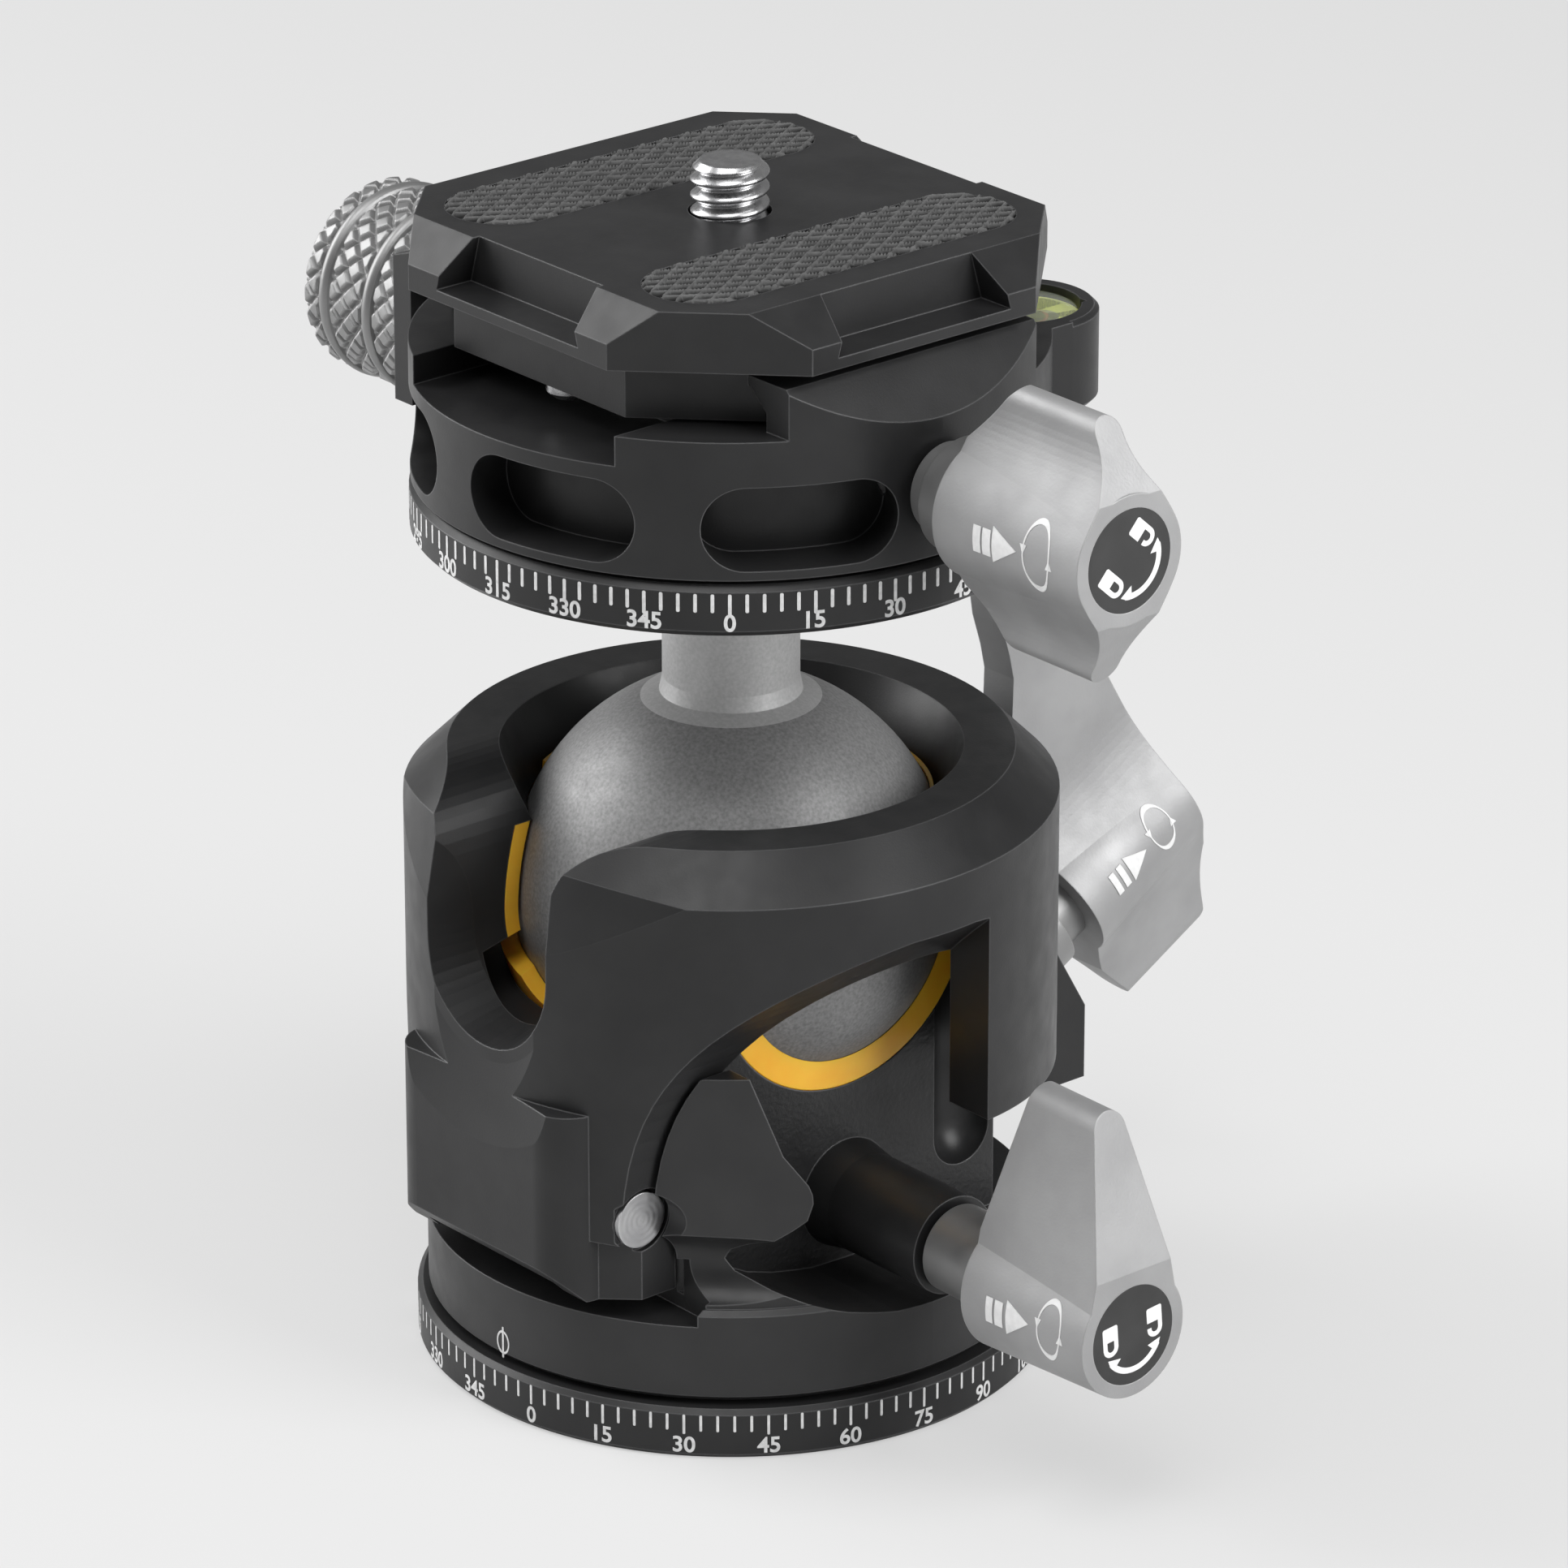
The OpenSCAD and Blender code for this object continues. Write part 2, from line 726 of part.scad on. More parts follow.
module ball_cap() {
    color(black) difference() {
        union() {
            difference() {
                union() {
                    cap_outline();
                    cap_seat();
                }
                // the windows, from the hinge block to the rear leg
                both_sides() slab_y(-cap_r - over, leg_y) arch_side(0, arch_foot - over);
                // the rear leg's foot
                slab_x(-2 * cap_r, 2 * cap_r) polygon([
                    [leg_y - over, arch_foot - over], [cap_r + over, arch_foot - over],
                    [cap_r + over, leg_foot - leg_fall],
                    [leg_y - over, leg_foot]
                ]);
            }
            hinge_block();
            rear_boss();
        }
        // the bevel that deepens toward the notch
        translate([0, 0, cap_z]) rotate([lean_turn, 0, 0]) rotate_extrude() polygon([
            [0, lean_reach], [2 * cap_r, lean_reach - lean_slope * 2 * cap_r], [2 * cap_r, lean_reach]
        ]);
        // the notch, whose walls open toward the outside
        slab_y(-cap_r, 0) notch_shape(notch_half);
        hull() {
            slab_y(-apron_r, -apron_r + edge) notch_foot(notch_half);
            slab_y(block_y - over, block_y) notch_foot(notch_half + notch_flare);
        }
        // the shallow scoop round the notch's foot
        translate([0, block_y - edge, ball_z]) rotate([-90, 0, 0])
            cylinder(r1 = scoop_out + scoop_flare_share * edge,
                r2 = scoop_out - scoop_flare_share * scoop_depth, h = scoop_depth + edge);
        // room for the housing's knuckle
        slab_x(-knuckle_half - edge, knuckle_half + edge) {
            translate([hinge_y, hinge_z]) circle(knuckle_r + edge);
            translate([hinge_y - knuckle_r - edge, block_foot - over])
                square([2 * knuckle_r - hinge_y, hinge_z - block_foot + over]);
            translate([hinge_y, hinge_z]) square([-hinge_y, knuckle_r + edge]);
        }
        translate([0, hinge_y, hinge_z]) {
            bar(pin_r + run_fit, -cap_r, cap_r);
            both_sides() bar(sink_r, hinge_half - sink_h, cap_r);
        }
        at_ball_lock() {
            translate([0, 0, -cap_r]) cylinder(r = spindle_room, h = 2 * cap_r);
            translate([0, 0, boss_face]) cylinder(r = boss_face_half, h = cap_r);
        }
    }
}

// the inner collar that carries the upper liner
module cap_seat() {
    difference() {
        intersection() {
            rotate_extrude() polygon([
                [0, arch_foot], [0, cap_z - mouth_drop], [mouth_r, cap_z - mouth_drop],
                [cap_r - over, cap_z - mouth_drop], [cap_r - over, arch_foot]
            ]);
            above_lean(ring_front_z, ring_lean_share);
        }
        translate([0, 0, ball_z]) sphere(seat_r);
    }
}

module notch_foot(half) {
    translate([0, ball_z + notch_rise]) circle(half, $fn = 48);
    translate([-half, ball_z + notch_rise]) square([2 * half, cap_rise - notch_neck_drop]);
}

module upper_liner() {
    color(orange) difference() {
        intersection() {
            translate([0, 0, ball_z]) sphere(seat_r - run_fit);
            above_lean(ring_front_z, ring_lean_share);
            cylinder(r = 2 * cap_r, h = cap_z - mouth_drop);
        }
        translate([0, 0, ball_z]) sphere(ball_r + gap * seat_share);
        slab_y(-2 * cap_r, 0) notch_shape(notch_half);
    }
}

// The locks

// the turning spindle: its thread runs inward from the origin and its spline outward
module lock_spindle(inward, neck, neck_from, neck_to, collar, collar_from, collar_to) {
    color(steel) difference() {
        union() {
            translate([0, 0, -inward])
                cylinder(r = lock_bore_r, h = inward + neck_to + lever_grip + spring_room);
            translate([0, 0, neck_from]) cylinder(r = neck, h = neck_to - neck_from);
            translate([0, 0, collar_from]) cylinder(r = collar, h = collar_to - collar_from);
            translate([0, 0, neck_to - edge]) cylinder(r = spline_r, h = lever_grip - pull + edge);
        }
        translate([0, 0, neck_to + lever_grip + spring_room - screw_shank_h])
            cylinder(r = screw_shank_r, h = screw_shank_h + over);
    }
}

// the lever's bores: a splined bore, then a chamber for its spring and its screw
module lever_bores(len) {
    translate([0, 0, -over]) cylinder(r = spline_r + run_fit, h = len);
    translate([0, 0, lever_grip]) cylinder(r = chamber_r, h = len);
    translate([0, 0, len - end_disc_t]) cylinder(r = end_disc_r, h = end_disc_t + over);
}

module barrel(len) {
    cylinder(r1 = barrel_r, r2 = lever_front_r, h = len);
}

module lock_spring() {
    color(steel) translate([0, 0, lever_grip]) coil(spring_r, spring_wire, spring_room, spring_turns);
}

module lock_screw() {
    color(steel) translate([0, 0, lever_grip + spring_room]) difference() {
        union() {
            cylinder(r = screw_head_r, h = screw_head_h);
            translate([0, 0, -screw_shank_h + edge]) cylinder(r = screw_shank_r, h = screw_shank_h);
        }
        translate([0, 0, screw_head_h / 2]) cylinder(r = screw_shank_r, h = screw_head_h, $fn = 6);
    }
}

module end_disc(len) {
    color(deep_black) translate([0, 0, len - end_disc_t]) cylinder(r = end_disc_r, h = end_disc_t);
}

// a wing's section square to the axis: its sides curve in from the barrel to a round tip
module wing_section(r, tip, reach) {
    from = [r * cos(root_turn), r * sin(root_turn)];
    to = [tip, reach - tip];
    run = norm(to - from);
    side = curve(from, from + run * root_share * [-sin(root_turn), cos(root_turn)],
        to - run * tip_share * [0, 1], to, 12);
    translate([0, reach - tip]) circle(tip);
    polygon(concat([[0, 0]], side, [for (i = [len(side) - 1:-1:0]) [-side[i][0], side[i][1]]]));
}

module wing_side(shares, reach, len) {
    slab_x(-cap_r, cap_r) polygon([for (p = shares) [p[0] * reach, p[1] * len]]);
}

// the pan lock's lever is a single teardrop
module pan_lever_shape() {
    difference() {
        union() {
            barrel(lever_len);
            intersection() {
                linear_extrude(lever_len) teardrop(lever_front_r - edge, wing_tip_r, pan_wing - wing_tip_r);
                wing_side(pan_wing_shares, pan_wing, lever_len);
            }
        }
        lever_bores(lever_len);
    }
}

// the clamp lock's lever has two equal wings
module top_lever_shape() {
    difference() {
        union() {
            barrel(top_lever_len);
            both_ends() intersection() {
                linear_extrude(top_lever_len) wing_section(lever_front_r, top_tip_r, top_wing);
                wing_side(top_wing_shares, top_wing, top_lever_len);
            }
        }
        lever_bores(top_lever_len);
    }
}

// the ball lock's lever has a short wing and a long one
module ball_lever_shape() {
    difference() {
        union() {
            barrel(lever_len);
            mirror([0, 1, 0]) intersection() {
                linear_extrude(lever_len) wing_section(lever_front_r, wing_tip_r, short_wing);
                wing_side(short_wing_shares, short_wing, lever_len);
            }
            intersection() {
                linear_extrude(lever_len) union() {
                    wing_section(lever_front_r, long_wing_half, short_wing);
                    translate([-long_wing_half, 0]) square([2 * long_wing_half, long_wing]);
                }
                wing_side(long_wing_shares, long_wing, lever_len);
            }
        }
        lever_bores(lever_len);
    }
}

module at_pan_lock() {
    at_side_lock(boss_x + gap, pan_axis_z) children();
}

module at_top_lock() {
    at_side_lock(clamp_r + gap, top_axis_z) children();
}

// the lever's own place on each lock's spindle
module on_neck(h) {
    translate([0, 0, h]) children();
}

module lock_shoe(x, z) {
    color(shoe_white) translate([0, 0, z]) bar(shoe_r, x, x + shoe_len);
}

module pan_lock_shoe() {
    lock_shoe(shoe_x, pan_axis_z);
}

module pan_lock_spindle() {
    at_pan_lock() lock_spindle(boss_x + gap - shoe_x - shoe_len - gap, neck_r, 0, pan_neck_h, neck_r, 0,
        pan_neck_h);
}

module pan_lock_lever() {
    color(silver) at_pan_lock() on_neck(pan_neck_h) pan_lever_shape();
}

module pan_lock_spring() {
    at_pan_lock() on_neck(pan_neck_h) lock_spring();
}

module pan_lock_screw() {
    at_pan_lock() on_neck(pan_neck_h) lock_screw();
}

module pan_lock_disc() {
    at_pan_lock() on_neck(pan_neck_h) end_disc(lever_len);
}

module top_lock_shoe() {
    lock_shoe(top_shoe_x, top_axis_z);
}

module top_lock_spindle() {
    at_top_lock() lock_spindle(clamp_r + gap - top_shoe_x - shoe_len - gap, neck_r, 0, top_neck_h,
        top_collar_r, top_collar_start, top_neck_h);
}

module top_lock_lever() {
    color(silver) at_top_lock() on_neck(top_neck_h) top_lever_shape();
}

module top_lock_spring() {
    at_top_lock() on_neck(top_neck_h) lock_spring();
}

module top_lock_screw() {
    at_top_lock() on_neck(top_neck_h) lock_screw();
}

module top_lock_disc() {
    at_top_lock() on_neck(top_neck_h) end_disc(top_lever_len);
}

module ball_lock_spindle() {
    at_ball_lock() lock_spindle(lock_reach - edge, ball_neck_r, collar_start, ball_neck_end, collar_r,
        collar_start, collar_start + collar_h);
}

module ball_lock_lever() {
    color(silver) at_ball_lock() on_neck(ball_neck_end) ball_lever_shape();
}

module ball_lock_spring() {
    at_ball_lock() on_neck(ball_neck_end) lock_spring();
}

module ball_lock_screw() {
    at_ball_lock() on_neck(ball_neck_end) lock_screw();
}

module ball_lock_disc() {
    at_ball_lock() on_neck(ball_neck_end) end_disc(lever_len);
}

// The ball and the scale disc

module ball_stem() {
    color(ball_grey) difference() {
        union() {
            translate([0, 0, ball_z]) sphere(ball_r);
            translate([0, 0, ball_z]) cylinder(r = stem_r, h = stem_reach);
            translate([0, 0, flare_z]) cylinder(r1 = flare_r, r2 = stem_r, h = flare_h);
        }
        translate([0, 0, bolt_head_z - bolt_len]) cylinder(r = bolt_r + run_fit, h = bolt_len);
    }
}

module stem_bolt() {
    color(steel) difference() {
        union() {
            translate([0, 0, bolt_head_z]) cylinder(r = bolt_head_r, h = bolt_head_h);
            translate([0, 0, bolt_head_z - bolt_len + edge]) cylinder(r = bolt_r, h = bolt_len);
        }
        translate([0, 0, bolt_head_z + bolt_head_h - bolt_key_h])
            cylinder(r = bolt_key_r, h = bolt_key_h + over, $fn = 6);
    }
}

module scale_disc() {
    color(black) difference() {
        union() {
            translate([0, 0, disc_z]) disc(disc_r, disc_h, disc_edge);
            translate([0, 0, disc_z + edge]) cylinder(r = top_spigot_r, h = top_spigot_z - disc_z - edge);
        }
        translate([0, 0, disc_z - over]) cylinder(r = bolt_r + run_fit, h = top_spigot_z);
        translate([0, 0, bolt_head_z]) cylinder(r = bolt_head_r + run_fit, h = top_spigot_z);
        translate([0, 0, top_clip_z]) ring(top_spigot_r + over, top_clip_in, clip_t);
    }
}

module top_washer() {
    color(white) translate([0, 0, disc_z + disc_h]) ring(disc_r - over, top_spigot_r + edge, washer_t);
}

module top_clip() {
    color(steel) translate([0, 0, top_clip_z]) snap_ring(top_clip_out, top_clip_in, clip_t);
}

// The clamp

// the dovetail's outline in X and Z, widened by a clearance
module dovetail(wide) {
    polygon([
        [-dovetail_w / 2 - wide, channel_z], [dovetail_w / 2 + wide, channel_z],
        [dovetail_w / 2 + wide, plate_z + foot_h + wide], [neck_x + wide, plate_z + flange_h + wide],
        [neck_x + wide, rim_z + over], [-neck_x - wide, rim_z + over],
        [-neck_x - wide, plate_z + flange_h + wide], [-dovetail_w / 2 - wide, plate_z + foot_h + wide]
    ]);
}

// the upper part of a jaw on the +X side
module jaw_block() {
    difference() {
        intersection() {
            translate([0, 0, clamp_z]) cylinder(r = clamp_r, h = jaw_top - clamp_z);
            slab_y(-jaw_half, jaw_half) polygon([
                [neck_x, channel_z - over], [clamp_r + over, channel_z - over], [clamp_r + over, channel_z],
                [clamp_r, channel_z], [jaw_crest, jaw_top], [neck_x, jaw_top]
            ]);
        }
        slab_y(-clamp_r, clamp_r) dovetail(jaw_fit);
    }
}

module slot_cut(turn) {
    rotate([0, 0, turn]) intersection() {
        ring(clamp_r + over, clamp_r - slot_depth, clamp_z + clamp_h);
        translate([0, 0, slot_z]) rotate([90, 0, 90]) linear_extrude(clamp_r + over) both_ends_flat()
            slot_half_shape();
    }
}

module both_ends_flat() {
    children();
    mirror([1, 0]) children();
}

module slot_half_shape() {
    half = clamp_r * sin(slot_span / 2) - slot_h / 2;
    translate([half, 0]) circle(slot_h / 2);
    translate([0, -slot_h / 2]) square([half, slot_h]);
}

module clamp_round() {
    translate([0, 0, clamp_z]) cylinder(r = clamp_r, h = clamp_h);
}

module level_lug() {
    translate([0, 0, channel_z - lug_h]) {
        translate([lug_x, lug_y, 0]) disc(lug_r, lug_h, edge);
        translate([lug_x - lug_r, 0, 0]) cube([2 * lug_r, lug_y, lug_h]);
    }
}

module clamp_body() {
    color(black) difference() {
        union() {
            clamp_round();
            jaw_block();
            level_lug();
        }
        for (turn = slot_turns) slot_cut(turn);
        // the stop screws' rooms at the two ends of the channel
        both_ends() translate([-stop_half, -clamp_r - over, stop_floor])
            cube([stop_half + stop_wall, clamp_r + over - stop_in, jaw_top - stop_floor]);
        translate([0, 0, clamp_z - over])
            cylinder(r = top_spigot_r + run_fit, h = over + top_cavity_z - clamp_z);
        translate([0, 0, clamp_z + top_bearing_h])
            cylinder(r = top_cavity_r, h = top_cavity_z - clamp_z - top_bearing_h);
        translate([0, 0, top_axis_z]) {
            bar(lock_bore_r + run_fit, 0, clamp_r + over);
            bar(shoe_r + run_fit, 0, top_shoe_x + shoe_len + gap);
        }
        translate([0, 0, knob_axis_z])
            bar(knob_screw_r + run_fit, -clamp_r - over, knob_screw_end + over);
        both_ends() {
            translate([0, guide_y, guide_z]) {
                bar(guide_r + run_fit, -clamp_r - over, guide_end + over);
                bar(spring_hole_r, -clamp_r - over, jaw_in + jaw_spring_room);
            }
        }
        translate([lug_x, lug_y, channel_z - vial_h]) cylinder(r = vial_r, h = vial_h + over);
    }
}

module moving_jaw() {
    color(black) difference() {
        union() {
            mirror([1, 0, 0]) intersection() {
                jaw_block();
                translate([0, -clamp_r, jaw_z]) cube([2 * clamp_r, 2 * clamp_r, jaw_top]);
            }
            jaw_plate();
        }
        slab_y(-clamp_r, clamp_r) dovetail(jaw_fit);
        translate([0, 0, knob_axis_z]) bar(knob_screw_r + run_fit, -2 * clamp_r, 0);
        both_ends() translate([0, guide_y, guide_z]) bar(guide_r, jaw_out, 0);
    }
}

// the plate outside the body that the knob pulls on, and the arm that joins it to the jaw
module jaw_plate() {
    slab_y(-jaw_plate_half, jaw_plate_half) polygon([
        [jaw_out, jaw_plate_z], [jaw_in, jaw_plate_z], [jaw_in, jaw_z], [-jaw_crest, jaw_z],
        [-jaw_crest, jaw_top - edge], [-jaw_crest - edge, jaw_top - edge], [jaw_out, jaw_plate_top]
    ]);
}

module jaw_pins() {
    color(steel) both_ends() translate([0, guide_y, guide_z]) bar(guide_r, jaw_out + edge, guide_end);
}

module jaw_springs() {
    color(steel) both_ends() translate([jaw_in, guide_y, guide_z]) rotate([0, 90, 0])
        coil(jaw_spring_r, spring_wire, jaw_spring_room, spring_turns);
}

module clamp_knob() {
    color(silver) translate([knob_x, 0, knob_axis_z]) rotate([0, -90, 0]) difference() {
        union() {
            translate([0, 0, -knob_collar_h]) cylinder(r = knob_collar_r, h = knob_collar_h + edge);
            disc(knob_groove_r, knob_len, 2 * edge);
            for (from_end = [ring_one, ring_two])
                translate([0, 0, knob_len - from_end - ring_h / 2]) disc(knob_r, ring_h, edge);
        }
        translate([0, 0, -knob_collar_h - over])
            cylinder(r = knob_screw_r, h = knob_collar_h + over + knob_hold);
    }
}

module knob_screw() {
    color(steel) translate([0, 0, knob_axis_z]) bar(knob_screw_r, knob_x - knob_hold, knob_screw_end);
}

module level_vial() {
    color(liquid) translate([lug_x, lug_y, channel_z - vial_h]) difference() {
        cylinder(r = vial_r, h = vial_h - lens_h);
        translate([bubble_x, bubble_x, vial_h - lens_h - bubble_h])
            cylinder(r = bubble_r, h = bubble_h + over);
    }
}

module level_bubble() {
    color(white) translate([lug_x + bubble_x, lug_y + bubble_x, channel_z - lens_h - bubble_h])
        cylinder(r = bubble_r, h = bubble_h);
}

module level_lens() {
    color(clear) translate([lug_x, lug_y, channel_z - lens_h]) disc(vial_r, lens_h, edge / 2);
}

// The plate

module corners_off(reach, low, high) {
    for (turn = [45:90:315]) rotate([0, 0, turn])
        translate([reach, -plate_w, low]) cube([plate_w, 2 * plate_w, high - low]);
}

// one half's outline from the rim up to the top face, for a half width at the rim and at the top
module plate_side(rim_half, top_half) {
    polygon([
        [-rim_half, rim_z], [rim_half, rim_z], [rim_half, rim_z + rim_h], [top_half, plate_top],
        [-top_half, plate_top], [-rim_half, rim_z + rim_h]
    ]);
}

module strap_pocket(rim_half) {
    slab_y(-rim_half - over, strap_depth - rim_half) polygon([
        [-strap_half, rim_z + strap_floor], [strap_half, rim_z + strap_floor],
        [strap_half - strap_draft, plate_top + over], [-strap_half + strap_draft, plate_top + over]
    ]);
}

module stadium(half, end) {
    both_ends() {
        translate([0, end - half]) circle(half);
        translate([-half, 0]) square([2 * half, end - half]);
    }
}

module plate() {
    color(black) difference() {
        union() {
            difference() {
                intersection() {
                    slab_y(-plate_len / 2, plate_len / 2) plate_side(plate_w / 2, top_half_x);
                    slab_x(-plate_w / 2, plate_w / 2) plate_side(plate_len / 2, top_half_y);
                }
                corners_off(corner_flat, rim_z - over, plate_top + over);
            }
            difference() {
                slab_y(-flange_half_y, flange_half_y) intersection() {
                    dovetail(0);
                    translate([-plate_w, plate_z]) square([2 * plate_w, plate_h]);
                }
                corners_off(flange_corner / sqrt(2), plate_z - over, plate_top + over);
            }
        }
        both_ends() strap_pocket(plate_len / 2);
        rotate([0, 0, 90]) both_ends() strap_pocket(plate_w / 2);
        both_sides() translate([pad_x, 0, plate_top - pad_sink]) linear_extrude(pad_sink + over)
            stadium(pad_half, pad_end);
        translate([0, 0, plate_z - over]) {
            cylinder(r = screw_r + hole_fit, h = plate_h + 2 * over);
            cylinder(r = head_r + hole_fit, h = over + head_z + head_h - plate_z + hole_fit);
        }
        translate([0, 0, ring_z]) cylinder(r = head_r + hole_fit + ring_groove, h = ring_t);
        for (s = [-1, 1]) translate([s * stop_x, -s * stop_y, plate_z - over])
            cylinder(r = stop_shank_r, h = over + stop_shank_h);
    }
}

module grip_pads() {
    color(rubber_black) both_sides() translate([pad_x, 0, plate_top - pad_sink])
        linear_extrude(pad_sink + pad_proud) stadium(pad_half, pad_end);
}

module camera_screw() {
    color(steel) difference() {
        union() {
            translate([0, 0, head_z]) disc(head_r, head_h, edge);
            translate([0, 0, head_z + edge]) rotate_extrude() polygon([
                [0, 0], [screw_neck_r, 0], [screw_neck_r, thread_z - head_z - edge],
                [screw_r, thread_z - head_z - edge], [screw_r, screw_end_z - head_z - 2 * edge],
                [screw_r - edge, screw_end_z - head_z - edge], [0, screw_end_z - head_z - edge]
            ]);
        }
        translate([-head_r - over, -key_slot / 2, head_z - over])
            cube([2 * head_r + 2 * over, key_slot, over + key_depth]);
    }
}

module screw_ring() {
    color(steel) translate([0, 0, ring_z]) snap_ring(head_r + hole_fit + ring_groove, ring_r_in, ring_t);
}

module stop_screws() {
    color(steel) for (s = [-1, 1]) translate([s * stop_x, -s * stop_y, plate_z]) {
        cylinder(r = stop_shank_r, h = stop_shank_h);
        intersection() {
            translate([0, 0, stop_dome_r - stop_h]) sphere(stop_dome_r);
            translate([0, 0, -stop_h]) cylinder(r = stop_r, h = stop_h);
        }
    }
}

pan_base();
pan_clip();
lower_housing();
pan_washer();
lower_liner();
hinge_pin();
ball_cap();
upper_liner();
ball_lock_spindle();
ball_lock_lever();
ball_lock_spring();
ball_lock_screw();
ball_lock_disc();
pan_lock_shoe();
pan_lock_spindle();
pan_lock_lever();
pan_lock_spring();
pan_lock_screw();
pan_lock_disc();
ball_stem();
stem_bolt();
scale_disc();
top_washer();
top_clip();
clamp_body();
moving_jaw();
jaw_pins();
jaw_springs();
clamp_knob();
knob_screw();
level_vial();
level_bubble();
level_lens();
top_lock_shoe();
top_lock_spindle();
top_lock_lever();
top_lock_spring();
top_lock_screw();
top_lock_disc();
plate();
grip_pads();
camera_screw();
screw_ring();
stop_screws();
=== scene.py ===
"""Looks of the tripod ball head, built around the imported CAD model. Lengths are in millimetres."""
import math

import bmesh
import bpy
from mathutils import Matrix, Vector


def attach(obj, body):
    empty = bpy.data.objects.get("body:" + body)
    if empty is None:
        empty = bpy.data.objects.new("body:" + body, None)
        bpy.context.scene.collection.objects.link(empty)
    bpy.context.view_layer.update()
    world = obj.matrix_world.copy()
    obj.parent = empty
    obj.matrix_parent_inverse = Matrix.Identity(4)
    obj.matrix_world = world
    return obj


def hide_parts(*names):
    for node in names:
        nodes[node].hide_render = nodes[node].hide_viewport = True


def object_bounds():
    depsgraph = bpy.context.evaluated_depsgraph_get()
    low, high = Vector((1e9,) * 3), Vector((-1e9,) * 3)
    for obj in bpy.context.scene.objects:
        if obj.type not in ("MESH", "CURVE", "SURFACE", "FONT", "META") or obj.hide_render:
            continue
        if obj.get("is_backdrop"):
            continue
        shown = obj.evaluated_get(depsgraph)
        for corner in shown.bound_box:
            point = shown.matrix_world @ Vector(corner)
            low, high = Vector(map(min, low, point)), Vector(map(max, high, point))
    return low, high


for leftover in ("Cube", "Light", "Camera"):
    if leftover in bpy.data.objects:
        bpy.data.objects.remove(bpy.data.objects[leftover])

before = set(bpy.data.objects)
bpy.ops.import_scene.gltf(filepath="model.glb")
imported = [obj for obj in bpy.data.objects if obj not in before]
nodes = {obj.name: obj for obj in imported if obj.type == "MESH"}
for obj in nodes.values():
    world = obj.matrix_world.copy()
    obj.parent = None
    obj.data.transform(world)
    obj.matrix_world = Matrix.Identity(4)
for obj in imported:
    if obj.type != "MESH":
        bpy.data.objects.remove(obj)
cad_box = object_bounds()
MM = 0.001

# places that the CAD model gives
BASE_R, BASE_TOP = 25.5, 4.2
SOCKET_R, SOCKET_TOP = 4.05, 9.9
BAND_R, BAND_TOP, SIDE_FACE = 24.6, 10.4, 14.0
PIN_Y, PIN_Z = -20.3, 19.7
STEM_FOOT = 54.55
DISC_R, DISC_LOW, DISC_TOP = 25.1, 69.15, 73.3
KNOB_X, KNOB_Z, KNOB_LENGTH = -30.5, 78.0, 14.3
LEVEL_X, LEVEL_Y, LEVEL_TOP = 9.3, 21.8, 84.8
PAD_X, PAD_FOOT, PAD_HALF, PAD_END = 12, 94.2, 4.6, 17.3
SCREW_NECK_TOP, SCREW_TOP = 88.9, 98.9
BARREL_BACK_R, BARREL_FRONT_R = 5.85, 5.2
LOWER_BARREL, TOP_BARREL = 13.4, 15.6

# pitches of the standard tripod and camera threads
SOCKET_PITCH, SCREW_PITCH = 1.5875, 1.27


# ---------- materials ----------


